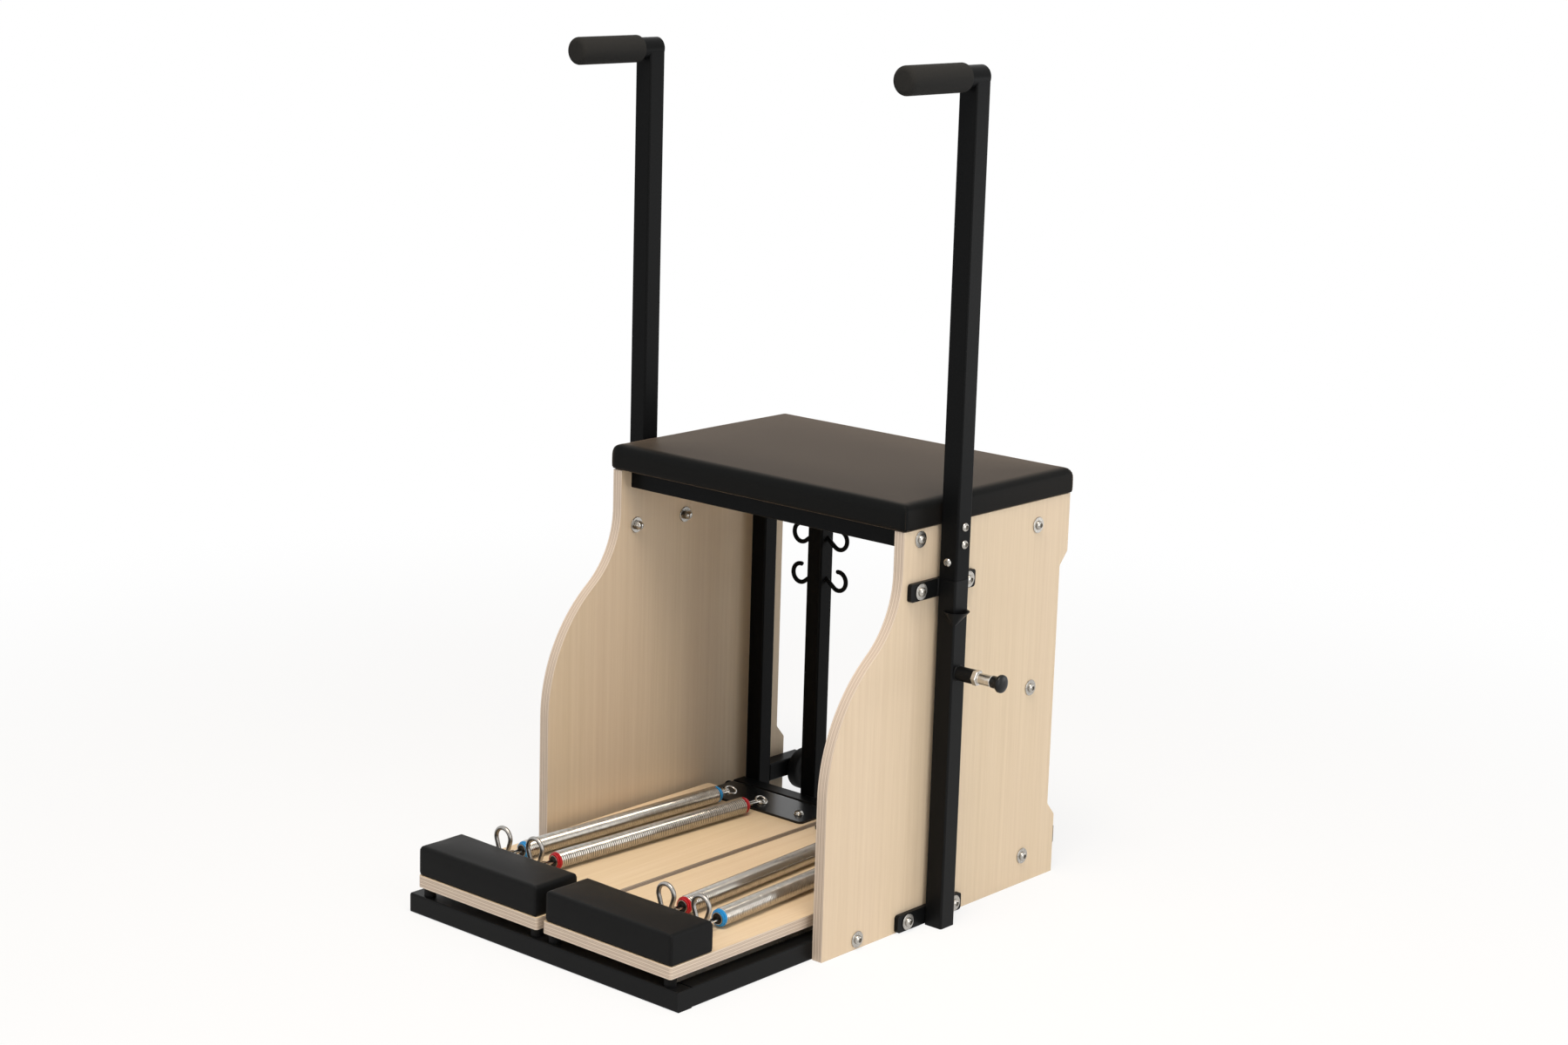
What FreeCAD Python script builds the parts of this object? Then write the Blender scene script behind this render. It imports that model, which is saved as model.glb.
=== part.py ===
import FreeCAD, Part
import math
import os

# A pilates chair with two pedals and two handles, in millimetres, +Z up.
# The pedals point to the front, -Y, and the right-hand side is +X.
# Places along Y are measured from the panels' upper front edge, and save() then moves every piece
# so that the origin lies on the floor under the middle of the chair.

V = FreeCAD.Vector
X_AXIS = V(1, 0, 0)
Y_AXIS = V(0, 1, 0)
Z_AXIS = V(0, 0, 1)

# Side panels
inner_width = 549.0
panel_thick = 18.0
panel_height = 613.0
panel_depth = 405.0
panel_step = 154.0
brow_drop = 61.0
brow_radius = 145.0
shin_radius = 247.0
back_recess = 18.5
upper_ear = 91.0
lower_ear = 95.0
ear_slope = 21.0
ear_round = 6.0

# Square tube of the frame
tube = 30.0
tube_wall = 2.0
tube_round = 3.0
tube_bore_round = 1.0
end_plate = 5.0

# Frame
base_reach = 283.0
cross_raise = 15.0
post_setback = 81.0
spring_post_inset = 136.5
seat_tube_setback = 22.0
base_bolt_line = -75.0
post_bolt_rise = 45.0
post_bolt_drop = 38.0
middle_bolt_share = 0.515

# Hooks for the springs on the posts
hook_drops = (200.0, 132.0)
hook_rod = 6.0
hook_radius = 15.5
hook_reach = 40.5
hook_droop_deg = 37.0
hook_tip_deg = 104.0

# Seat
seat_overhang = 1.5
seat_thick = 38.0
seat_crown = 6.0
seat_edge = 8.0
seat_corner = 8.0
seat_board_thick = 12.0
seat_board_margin = 24.0

# How far a cushion's foot draws in, as a share of its edge roll, and the steps of its roll and crown
foot_inset_share = 0.45
belly_rise_share = 0.30
roll_steps = 3
crown_steps = 3
crown_reach_share = 0.9

# Bolts
bolt = 8.0
bolt_play = 0.4
bolt_bite = 10.0
bolt_head = 14.0
bolt_rise = 4.5
head_top_share = 0.62
washer = 25.0
washer_thick = 2.0
nut_flats = 13.0
nut_thick = 6.5
nut_dome = 5.0

# Handle sleeves
sleeve_tube = 32.0
bracket_thick = 7.0
bracket_length = 152.0
bracket_lead = 3.0
bracket_height = 27.0
bracket_round = 5.0
bracket_bolt_span = 112.0
sleeve_line = 90.4
sleeve_drop = 78.0
lip_setdown = 46.0
lip_depth = 21.0
lip_rim = 19.5
lip_root = 3.0
lip_hollow = 3.0
lip_rim_shift = (-4.0, 10.0)
lip_root_shift = (-3.5, 3.5)

# Handles
seam = 0.5
grip_rise = 647.0
slide_play = 0.3
inner_wall = 2.0
inner_round = 1.5
inner_bore_round = 0.8
inner_tail = 30.0
inner_hold = 105.0
handle_travel = 150.0
hole_steps = 6
crossbar = 34.0
crossbar_wall = 2.0
crossbar_end = 3.0
crossbar_tail = 1.0
grip = 42.0
grip_front = 162.0
grip_length = 133.0
grip_end = 7.0
grip_round = 8.0
grip_round_steps = 4
grip_rim = 3.0
grip_play = 0.2
screw = 8.0
screw_play = 0.3
screw_head = 13.5
screw_rise = 4.2
screw_bite = 1.0
front_screw_rise = 26.0
side_screw_rises = (53.0, 79.0)

# Plungers
plunger_drop = 140.0
plunger = 8.0
plunger_play = 0.3
plunger_reach = 2.5
boss = 22.0
boss_length = 30.0
hex_flats = 21.0
hex_thick = 8.5
barrel = 17.0
barrel_length = 23.5
knob_gap = 0.4
neck = 16.6
neck_length = 12.0
knob = 27.0
knob_thick = 9.0
knob_dome = 2.5
knob_top_share = 0.7

# Pedals
pedal_gap = 13.0
pedal_side_gap = 16.0
board_setback = 2.0
board_thick = 18.0
board_lift = 13.5
board_corner = 4.0
bumper = 18.0
bumper_inset = 12.0
bumper_gap = 0.3
pad_setback = 2.0
pad_depth = 83.0
pad_thick = 41.0
pad_crown = 4.5
pad_edge = 6.0
pad_corner = 6.0
pad_inner_gap = 4.0
pad_outer_gap = 1.0

# Pedal hinge
pivot_reach = 54.0
board_back_gap = 25.0
plate_lap = 51.0
plate_thick = 4.0
plate_corner = 8.0
plate_inset = 6.5
plate_edge_gap = 29.5
plate_bolt_inset = 28.0
plate_bolt_margin = 28.0
plate_washer = 16.0
plate_washer_thick = 1.5
knuckle = 26.0
shaft = 14.0
shaft_play = 0.1
shaft_tail = 2.0
lug_thick = 8.0
lug_gap = 1.0
lug_radius = 12.0

# Springs
eye_setback = 120.0
eye_insets = (55.5, 124.0)
spring_lean_deg = 3.1
rest_gap = 0.3
spring_wire = 4.0
spring_outside = 28.0
spring_tail_gap = 3.0
coil_curls = 9
coil_bend = 6.0
cap = 29.0
cap_length = 7.0
collar = 23.0
collar_length = 5.0
plug = 15.0
plug_length = 3.0
end_wire = 4.0
end_bend = 8.0
end_shank = 30.0
end_tip_deg = 175.0
ring_lead = 3.0
ring_neck = 5.0
ring_radius = 8.5
ring_tip_deg = 285.0

# Eye bolts
eye_wire = 6.0
eye_radius = 15.5
eye_flare_deg = 19.3
eye_bend = 10.0
eye_gap = 0.5
eye_play = 0.3
hook_clear = 0.5
eye_nut_flats = 10.0
eye_nut_thick = 5.0
eye_washer = 16.0
eye_washer_thick = 1.5
eye_tail = 2.0

# Transport wheels
wheel = 70.0
wheel_width = 20.0
wheel_round = 3.0
wheel_hub = 22.0
wheel_rim = 9.0
wheel_dish = 5.0
wheel_stand = 9.0
wheel_height = 45.0
wheel_gap = 0.6
arm_raise = 35.5
arm_tail = 18.0
axle = 10.0
axle_play = 0.3
axle_head = 14.0
axle_head_thick = 5.0

# One overrun serves every cut, and bent rod and wire have this many sides
overrun = 1.0
rod_sides = 8
coil_sides = 6

# Places worked out from the sizes above
half_inner = inner_width / 2
half_outer = half_inner + panel_thick
brow_height = panel_height - brow_drop
base_front = -panel_step - base_reach
post_line = panel_depth - post_setback
post_front = post_line - tube / 2
post_back = post_line + tube / 2
cross_front = post_front - tube
spring_post_x = half_inner - spring_post_inset
seat_tube_low = panel_height - tube
post_bolt_high = panel_height - post_bolt_drop
post_bolt_middle = post_bolt_rise + middle_bolt_share * (post_bolt_high - post_bolt_rise)
post_bolt_heights = (post_bolt_rise, post_bolt_middle, post_bolt_high)
hook_heights = [panel_height - drop for drop in hook_drops]
sleeve_top = panel_height - sleeve_drop
lip_top = sleeve_top - lip_setdown
plunger_height = sleeve_top - plunger_drop
grip_height = panel_height + grip_rise
sleeve_x = half_outer + bracket_thick + sleeve_tube / 2
sleeve_face = sleeve_x + sleeve_tube / 2
sleeve_front = sleeve_line - sleeve_tube / 2
sleeve_back = sleeve_line + sleeve_tube / 2
pivot_line = cross_front - pivot_reach
board_rear = pivot_line - board_back_gap
plate_front = board_rear - plate_lap
plate_bolt_line = plate_front + plate_bolt_inset
board_inner = pedal_gap / 2
board_outer = half_inner - pedal_side_gap
board_front = base_front + board_setback
eye_line = board_front + eye_setback
eye_places = [board_outer - inset for inset in eye_insets]
board_low = tube + board_lift
board_top = board_low + board_thick
plate_top = board_top + plate_thick
plate_inner = board_inner + plate_inset
plate_outer = board_outer - plate_edge_gap
plate_width = plate_outer - plate_inner
plate_bolt_pitch = plate_width / 2 - plate_bolt_margin
plate_middle = (plate_inner + plate_outer) / 2
pivot_height = plate_top - knuckle / 2
spring_height = board_top + cap / 2 + rest_gap
coil_start = end_shank + plug_length + collar_length + cap_length
coil_length = plate_front - spring_tail_gap - eye_line - 2 * coil_start + end_shank
eye_pivot_height = spring_height - end_bend
wheel_line = panel_depth + wheel_stand
wheel_outer = half_inner - tube - wheel_gap
wheel_inner = wheel_outer - wheel_width
wheel_back = wheel_line + wheel / 2
centre_y = (base_front + wheel_back) / 2


# Plain shapes

def box(xs, ys, zs):
    return Part.makeBox(xs[1] - xs[0], ys[1] - ys[0], zs[1] - zs[0], V(xs[0], ys[0], zs[0]))


def cylinder(start, axis, diameter, length):
    return Part.makeCylinder(diameter / 2, length, start, axis)


def lines(points):
    return [Part.makeLine(a, b) for a, b in zip(points, points[1:])]


def arc(a, b, c):
    return Part.Arc(a, b, c).toShape()


def prism(points, path):
    return Part.Face(Part.Wire(lines(points + points[:1]))).extrude(path)


def placed(shape, start, axis):
    """Turn a shape that is drawn up Z to another axis and set its foot on a point."""
    moved = shape.copy()
    moved.Placement = FreeCAD.Placement(start, FreeCAD.Rotation(Z_AXIS, axis))
    return moved


def moved(shape, step):
    copy = shape.copy()
    copy.translate(step)
    return copy


def mirrored(shape):
    return shape.mirror(V(0, 0, 0), X_AXIS)


def both(shape):
    return [mirrored(shape), shape]


def group(shapes):
    return Part.makeCompound(shapes)


def revolved(points):
    """Revolve a closed outline in the XZ plane about Z."""
    return Part.Face(Part.Wire(lines(points + points[:1]))).revolve(V(0, 0, 0), Z_AXIS, 360)


def rounded_rectangle(width, depth, radius, middle=V(0, 0, 0)):
    x, y, r = width / 2, depth / 2, radius
    bow = r * (1 - math.sqrt(2) / 2)
    path = [Part.makeLine(V(-x + r, -y, 0), V(x - r, -y, 0)),
            arc(V(x - r, -y, 0), V(x - bow, -y + bow, 0), V(x, -y + r, 0)),
            Part.makeLine(V(x, -y + r, 0), V(x, y - r, 0)),
            arc(V(x, y - r, 0), V(x - bow, y - bow, 0), V(x - r, y, 0)),
            Part.makeLine(V(x - r, y, 0), V(-x + r, y, 0)),
            arc(V(-x + r, y, 0), V(-x + bow, y - bow, 0), V(-x, y - r, 0)),
            Part.makeLine(V(-x, y - r, 0), V(-x, -y + r, 0)),
            arc(V(-x, -y + r, 0), V(-x + bow, -y + bow, 0), V(-x + r, -y, 0))]
    wire = Part.Wire(path)
    wire.translate(middle)
    return wire


def rounded_bar(start, axis, length, size, radius):
    profile = Part.Face(rounded_rectangle(size, size, radius))
    return placed(profile.extrude(V(0, 0, length)), start, axis)


def square_tube(start, axis, length, size=tube, wall=tube_wall, radius=tube_round, bore=tube_bore_round):
    core = rounded_bar(start - axis * overrun, axis, length + 2 * overrun, size - 2 * wall, bore)
    return rounded_bar(start, axis, length, size, radius).cut(core)


def closed_tube(start, axis, length):
    """Square tube with a plate welded in at each end."""
    solid = rounded_bar(start, axis, length, tube, tube_round)
    hollow = tube - 2 * tube_wall
    core = rounded_bar(start + axis * end_plate, axis, length - 2 * end_plate, hollow, tube_bore_round)
    return solid.cut(core)


def hexagon(flats, height):
    radius = flats / math.sqrt(3)
    corners = [V(radius * math.cos(math.radians(60 * i)), radius * math.sin(math.radians(60 * i)), 0)
               for i in range(6)]
    return prism(corners, V(0, 0, height))


def round_edges(solid, places, radius):
    """Round the edges that run along X at the given (y, z) places."""
    chosen = []
    for edge in solid.Edges:
        a, b = edge.Vertexes[0].Point, edge.Vertexes[-1].Point
        for y, z in places:
            on_a = abs(a.y - y) + abs(a.z - z) < radius / 100
            on_b = abs(b.y - y) + abs(b.z - z) < radius / 100
            if on_a and on_b:
                chosen.append(edge)
    return solid.makeFillet(radius, chosen)


# Bent wire: straight runs joined by tangent arcs

def corner_arc(start, corner, end):
    """Arc that leaves start and reaches end along the two legs of a corner."""
    chord = (start + end) * 0.5
    half = (end - start).Length / 2
    rise = (corner - chord).Length
    sagitta = half * math.tan(math.atan2(rise, half) / 2)
    return arc(start, chord + (corner - chord) * (sagitta / rise), end)


def biarc(start, leave, end, arrive):
    """Two tangent arcs from start, along leave, to end, along arrive."""
    span = end - start
    fold = 2 * (1 - leave.dot(arrive))
    reach = span.dot(leave + arrive)
    leg = (-reach + math.sqrt(reach * reach + fold * span.dot(span))) / fold
    middle = (start + end + (leave - arrive) * leg) * 0.5
    return [corner_arc(start, start + leave * leg, middle), corner_arc(middle, end - arrive * leg, end)]


def wire_solid(path, diameter, start, direction, sides=rod_sides):
    """Sweep a many-sided section along the path, which leaves start along direction."""
    across = direction.cross(V(direction.y, direction.z, direction.x)).normalize()
    up = direction.cross(across)
    turns = [2 * math.pi * (i + 0.5) / sides for i in range(sides)]
    radius = diameter / 2
    corners = [start + across * (math.cos(a) * radius) + up * (math.sin(a) * radius) for a in turns]
    return Part.Wire(path).makePipeShell([Part.Wire(lines(corners + corners[:1]))], True, False)


# Fasteners, drawn up Z with their seat at zero

def dome_bolt(length, shank, head, rise, ring, ring_thick):
    top = ring_thick + rise
    return revolved([V(0, 0, -length), V(shank / 2, 0, -length), V(shank / 2, 0, 0), V(ring / 2, 0, 0),
                     V(ring / 2, 0, ring_thick), V(head / 2, 0, ring_thick),
                     V(head / 2 * head_top_share, 0, top), V(0, 0, top)])


def small_screw(length):
    return revolved([V(0, 0, -length), V(screw / 2, 0, -length), V(screw / 2, 0, 0), V(screw_head / 2, 0, 0),
                     V(screw_head / 2 * head_top_share, 0, screw_rise), V(0, 0, screw_rise)])


def cap_nut():
    ring = cylinder(V(0, 0, 0), Z_AXIS, washer, washer_thick)
    nut = moved(hexagon(nut_flats, nut_thick), V(0, 0, washer_thick))
    top = washer_thick + nut_thick
    radius = nut_flats / 2
    dome = revolved([V(0, 0, top), V(radius, 0, top), V(radius * head_top_share, 0, top + nut_dome),
                     V(0, 0, top + nut_dome)])
    bore = cylinder(V(0, 0, -overrun), Z_AXIS, bolt + 2 * bolt_play, overrun + top)
    return ring.fuse([nut, dome]).cut(bore)


# Side panels and what bolts them to the frame

def panel_bolt_places():
    places = [(seat_tube_setback + tube / 2, panel_height - tube / 2), (base_bolt_line, tube / 2)]
    return places + [(post_line, height) for height in post_bolt_heights]


def bracket_heights():
    return (tube / 2, sleeve_top - bracket_height / 2)


def bracket_bolt_lines():
    return (sleeve_line - bracket_bolt_span / 2, sleeve_line + bracket_bolt_span / 2)


def bolt_hole(x, y, z, length):
    """Clearance hole along X that starts an overrun before x and runs on for the length."""
    return cylinder(V(x - overrun, y, z), X_AXIS, bolt + 2 * bolt_play, length + 2 * overrun)


def side_panel():
    sweep = math.acos(1 - panel_step / (brow_radius + shin_radius))
    half = sweep / 2
    shin_low = brow_height - (brow_radius + shin_radius) * math.sin(sweep)
    foot = V(0, -panel_step, 0)
    shin = V(0, -panel_step, shin_low)
    shin_middle = shin + V(0, 1 - math.cos(half), math.sin(half)) * shin_radius
    join = V(0, -brow_radius * (1 - math.cos(sweep)), brow_height - brow_radius * math.sin(sweep))
    brow_middle = V(0, -brow_radius * (1 - math.cos(half)), brow_height - brow_radius * math.sin(half))
    brow = V(0, 0, brow_height)
    recess = panel_depth - back_recess
    ears = [(panel_depth, panel_height - upper_ear), (recess, panel_height - upper_ear - ear_slope),
            (recess, lower_ear + ear_slope), (panel_depth, lower_ear)]
    straight = [brow, V(0, 0, panel_height), V(0, panel_depth, panel_height)]
    straight += [V(0, y, z) for y, z in ears] + [V(0, panel_depth, 0), foot, shin]
    path = [arc(shin, shin_middle, join), arc(join, brow_middle, brow)] + lines(straight)
    panel = Part.Face(Part.Wire(path)).extrude(V(panel_thick, 0, 0))
    panel = round_edges(panel, ears, ear_round)
    panel.translate(V(half_inner, 0, 0))
    places = panel_bolt_places() + [(y, z) for y in bracket_bolt_lines() for z in bracket_heights()]
    return panel.cut([bolt_hole(half_inner, y, z, panel_thick) for y, z in places])


def panel_bolts():
    made = dome_bolt(panel_thick + bolt_bite, bolt, bolt_head, bolt_rise, washer, washer_thick)
    return [placed(made, V(half_outer, y, z), X_AXIS) for y, z in panel_bolt_places()]


def bracket_fasteners():
    """Lower bolts end in the base tubes and upper ones in cap nuts on the panel's inner face."""
    low, high = bracket_heights()
    face = half_outer + bracket_thick
    through = bracket_thick + panel_thick
    into_tube = dome_bolt(through + bolt_bite, bolt, bolt_head, bolt_rise, washer, washer_thick)
    to_nut = through + washer_thick + nut_thick / 2
    into_nut = dome_bolt(to_nut, bolt, bolt_head, bolt_rise, washer, washer_thick)
    pieces = []
    for y in bracket_bolt_lines():
        pieces.append(placed(into_tube, V(face, y, low), X_AXIS))
        pieces.append(placed(into_nut, V(face, y, high), X_AXIS))
        pieces.append(placed(cap_nut(), V(half_inner, y, high), X_AXIS * -1))
    return pieces


# Frame of square tube

def seat_front_tube():
    y, z = seat_tube_setback + tube / 2, panel_height - tube / 2
    beam = closed_tube(V(-half_inner, y, z), X_AXIS, inner_width)
    ends = [bolt_hole(x, y, z, end_plate) for x in (-half_inner, half_inner - end_plate)]
    return beam.cut(ends)


def cross_tube(y, z):
    return square_tube(V(-half_inner, y, z), X_AXIS, inner_width)


def base_side_tube():
    length = cross_front - base_front - tube
    rail = square_tube(V(half_inner - tube / 2, base_front + tube, tube / 2), Y_AXIS, length)
    lines_along = (base_bolt_line,) + bracket_bolt_lines()
    return rail.cut([bolt_hole(half_inner - tube_wall, y, tube / 2, tube_wall) for y in lines_along])


def corner_post():
    x = half_inner - tube / 2
    post = square_tube(V(x, post_line, cross_raise), Z_AXIS, seat_tube_low - cross_raise)
    return post.cut([bolt_hole(half_inner - tube_wall, post_line, z, tube_wall) for z in post_bolt_heights])


def spring_post():
    return square_tube(V(spring_post_x, post_line, cross_raise), Z_AXIS, seat_tube_low - cross_raise)


def post_hook(height):
    """Hook that leaves the post's outer face, droops and turns up round an open loop."""
    droop = math.radians(hook_droop_deg)
    run = V(math.cos(droop), 0, -math.sin(droop))
    middle = V(hook_reach, 0, height)
    touch = middle - V(math.sin(droop), 0, math.cos(droop)) * hook_radius
    inside = tube / 2 - tube_wall
    start = touch - run * ((touch.x - inside) / math.cos(droop))
    first = -math.pi / 2 - droop
    last = math.radians(hook_tip_deg)
    turns = [middle + V(math.cos(a), 0, math.sin(a)) * hook_radius
             for a in [first + (last - first) * i / 4 for i in range(5)]]
    path = [Part.makeLine(start, touch), arc(turns[0], turns[1], turns[2]), arc(turns[2], turns[3], turns[4])]
    rod = wire_solid(path, hook_rod, start, run)
    post = rounded_bar(V(0, 0, height - 2 * hook_radius), Z_AXIS, 4 * hook_radius, tube, tube_round)
    return rod.cut(post)


def spring_hooks():
    hooks = []
    for height in hook_heights:
        hooks += [moved(hook, V(spring_post_x, post_line, 0)) for hook in both(post_hook(height))]
    return hooks


# Cushions: lofts that draw in at the foot, swell, roll over the upper edge and crown

def cushion(xs, ys, low, thick, crown, edge, corner):
    width, depth = xs[1] - xs[0], ys[1] - ys[0]
    middle = V((xs[0] + xs[1]) / 2, (ys[0] + ys[1]) / 2, low)
    outline = [(foot_inset_share * edge, 0), (0, belly_rise_share * thick)]
    for i in range(roll_steps + 1):
        turn = math.pi / 2 * i / roll_steps
        outline.append((edge * (1 - math.cos(turn)), thick - edge * (1 - math.sin(turn))))
    spread = (min(width, depth) / 2 - edge) * crown_reach_share
    for i in range(1, crown_steps + 1):
        part = i / crown_steps
        outline.append((edge + part * spread, thick + crown * part * (2 - part)))
    sections = []
    for inset, rise in outline:
        turn = min(corner, depth / 2 - inset - rest_gap)
        sections.append(rounded_rectangle(width - 2 * inset, depth - 2 * inset, turn, middle + V(0, 0, rise)))
    return Part.makeLoft(sections, True, True)


def seat_board_box():
    side = half_outer + seat_overhang - seat_board_margin
    ys = (seat_board_margin - seat_overhang, panel_depth + seat_overhang - seat_board_margin)
    return box((-side, side), ys, (panel_height, panel_height + seat_board_thick))


def seat_pad():
    side = half_outer + seat_overhang
    pad = cushion((-side, side), (-seat_overhang, panel_depth + seat_overhang), panel_height, seat_thick,
                  seat_crown, seat_edge, seat_corner)
    return pad.cut(seat_board_box())


# Handles in their sleeves

def plunger_hole(x, height, length):
    return cylinder(V(x, sleeve_line, height), X_AXIS, plunger + 2 * plunger_play, length)


def sleeve_bracket(height):
    outline = rounded_rectangle(bracket_height, bracket_length, bracket_round)
    plate = Part.Face(outline).extrude(V(0, 0, bracket_thick))
    plate = placed(plate, V(half_outer, sleeve_line - bracket_lead, height), X_AXIS)
    return plate.cut([bolt_hole(half_outer, y, height, bracket_thick) for y in bracket_bolt_lines()])


def flared_lip():
    """Lip at the sleeve's outer front corner: an oblique hollow cone that grows out of the corner."""
    def ring(radius, shift, height):
        middle = V(sleeve_face + shift[0], sleeve_front + shift[1], height)
        return Part.Wire(Part.makeCircle(radius, middle))
    root = ring(lip_root, lip_root_shift, lip_top - lip_depth)
    rim = ring(lip_rim, lip_rim_shift, lip_top)
    cone = Part.makeLoft([root, rim], True, True)
    sleeve = rounded_bar(V(sleeve_x, sleeve_line, 0), Z_AXIS, sleeve_top, sleeve_tube, tube_round)
    return cone.cut([moved(cone, V(0, 0, lip_hollow)), sleeve])


def handle_sleeve():
    body = square_tube(V(sleeve_x, sleeve_line, 0), Z_AXIS, sleeve_top, sleeve_tube)
    stub = cylinder(V(sleeve_face, sleeve_line, plunger_height), X_AXIS, boss, boss_length)
    welded = body.fuse([sleeve_bracket(z) for z in bracket_heights()] + [stub, flared_lip()])
    return welded.cut(plunger_hole(sleeve_x, plunger_height, sleeve_face + boss_length + overrun - sleeve_x))


def side_screw_places():
    return [V(sleeve_face, sleeve_line, sleeve_top + seam + rise) for rise in side_screw_rises]


def front_screw_place():
    return V(sleeve_x, sleeve_front, sleeve_top + seam + front_screw_rise)


def screw_length():
    return tube_wall + slide_play + inner_wall + screw_bite


def screw_holes():
    length = screw_length() + overrun
    size = screw + 2 * screw_play
    holes = [cylinder(place, X_AXIS * -1, size, length) for place in side_screw_places()]
    return holes + [cylinder(front_screw_place(), Y_AXIS, size, length)]


def handle_post():
    foot = sleeve_top + seam
    post = square_tube(V(sleeve_x, sleeve_line, foot), Z_AXIS, grip_height - foot, sleeve_tube)
    front = sleeve_line - grip_front + grip_end
    length = sleeve_back + crossbar_tail - front
    start = V(sleeve_x, front, grip_height)
    bar = cylinder(start, Y_AXIS, crossbar, length)
    rear_edges = [edge for edge in bar.Edges if edge.BoundBox.YMin > front + length / 2]
    bar = bar.makeChamfer(crossbar_end, rear_edges)
    bore = cylinder(start, Y_AXIS, crossbar - 2 * crossbar_wall, length - crossbar_end)
    post = post.cut(cylinder(start, Y_AXIS, crossbar - crossbar_wall, length + overrun))
    return post.fuse(bar.cut(bore)).cut(screw_holes())


def inner_tube():
    size = sleeve_tube - 2 * tube_wall - 2 * slide_play
    low = plunger_height - handle_travel - inner_tail
    high = sleeve_top + seam + inner_hold
    foot = V(sleeve_x, sleeve_line, low)
    pipe = square_tube(foot, Z_AXIS, high - low, size, inner_wall, inner_round, inner_bore_round)
    pitch = handle_travel / hole_steps
    row = [plunger_hole(sleeve_x, plunger_height - pitch * i, sleeve_tube) for i in range(hole_steps + 1)]
    return pipe.cut(row + screw_holes())


def handle_grip():
    """Foam sleeve with a closed, rounded front end and an eased rear rim."""
    outer, bore, turn = grip / 2, crossbar / 2 + grip_play, grip_round
    inside, back = grip_end - grip_play, grip_length
    bends = [math.pi / 2 * i / grip_round_steps for i in range(grip_round_steps + 1)]
    nose = [V(outer - turn * (1 - math.sin(bend)), 0, turn * (1 - math.cos(bend))) for bend in bends]
    rear = [V(outer, 0, back - grip_rim), V(outer - grip_rim, 0, back), V(bore, 0, back)]
    made = revolved([V(0, 0, inside), V(0, 0, 0)] + nose + rear + [V(bore, 0, inside)])
    return placed(made, V(sleeve_x, sleeve_line - grip_front, grip_height), Y_AXIS)


def handle_screws():
    made = small_screw(screw_length())
    screws = [placed(made, place, X_AXIS) for place in side_screw_places()]
    return screws + [placed(made, front_screw_place(), Y_AXIS * -1)]


def plunger_body():
    """Hexagon and barrel that screw into the boss and guide the plunger."""
    start = sleeve_face + boss_length
    nut = placed(hexagon(hex_flats, hex_thick), V(start, sleeve_line, plunger_height), X_AXIS)
    pipe = cylinder(V(start + hex_thick, sleeve_line, plunger_height), X_AXIS, barrel, barrel_length)
    length = hex_thick + barrel_length + 2 * overrun
    return nut.fuse(pipe).cut(plunger_hole(start - overrun, plunger_height, length))


def plunger_rod():
    """Plunger whose tip sits in the inner tube and whose knob is pulled outwards."""
    tip = sleeve_face - tube_wall - slide_play - inner_wall - plunger_reach
    neck_start = sleeve_face + boss_length + hex_thick + barrel_length + knob_gap
    rod = cylinder(V(tip, sleeve_line, plunger_height), X_AXIS, plunger, neck_start - tip)
    rim, top = knob / 2, neck_length + knob_thick
    made = revolved([V(0, 0, 0), V(neck / 2, 0, 0), V(neck / 2, 0, neck_length),
                     V(rim, 0, neck_length + knob_dome), V(rim, 0, top - knob_dome),
                     V(rim * knob_top_share, 0, top), V(0, 0, top)])
    return rod.fuse(placed(made, V(neck_start, sleeve_line, plunger_height), X_AXIS))


# Pedals

def plate_bolt_places():
    return [plate_middle + plate_bolt_pitch * i for i in (-1, 0, 1)]


def eye_angle():
    return math.radians(eye_flare_deg)


def eye_apex():
    """Height where the eye's two legs would meet, low enough for the spring's hook to clear them."""
    angle = eye_angle()
    crotch = (end_wire / 2 + hook_clear + eye_wire / 2 / math.cos(angle)) / math.tan(angle)
    inside = end_bend - end_wire / 2 - hook_clear
    return eye_pivot_height + math.sqrt(inside * inside - eye_wire * eye_wire / 4) - crotch


def eye_hole():
    angle = eye_angle()
    half = (board_top - eye_apex()) * math.tan(angle) + eye_wire / 2 / math.cos(angle) + eye_play
    return 2 * half


def pedal_board():
    ys, zs = (board_front, board_rear), (board_low, board_top)
    board = box((board_inner, board_outer), ys, zs)
    upright = [edge for edge in board.Edges if edge.BoundBox.ZLength > board_thick / 2]
    board = board.makeFillet(board_corner, upright)
    depth = board_thick + 2 * overrun
    holes = [cylinder(V(x, plate_bolt_line, board_low - overrun), Z_AXIS, bolt + 2 * bolt_play, depth)
             for x in plate_bolt_places()]
    holes += [cylinder(V(x, eye_line, board_low - overrun), Z_AXIS, eye_hole(), depth) for x in eye_places]
    return board.cut(holes)


def foot_pad():
    front = board_front + pad_setback
    xs = (board_inner + pad_inner_gap, board_outer - pad_outer_gap)
    return cushion(xs, (front, front + pad_depth), board_top, pad_thick, pad_crown, pad_edge, pad_corner)


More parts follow.
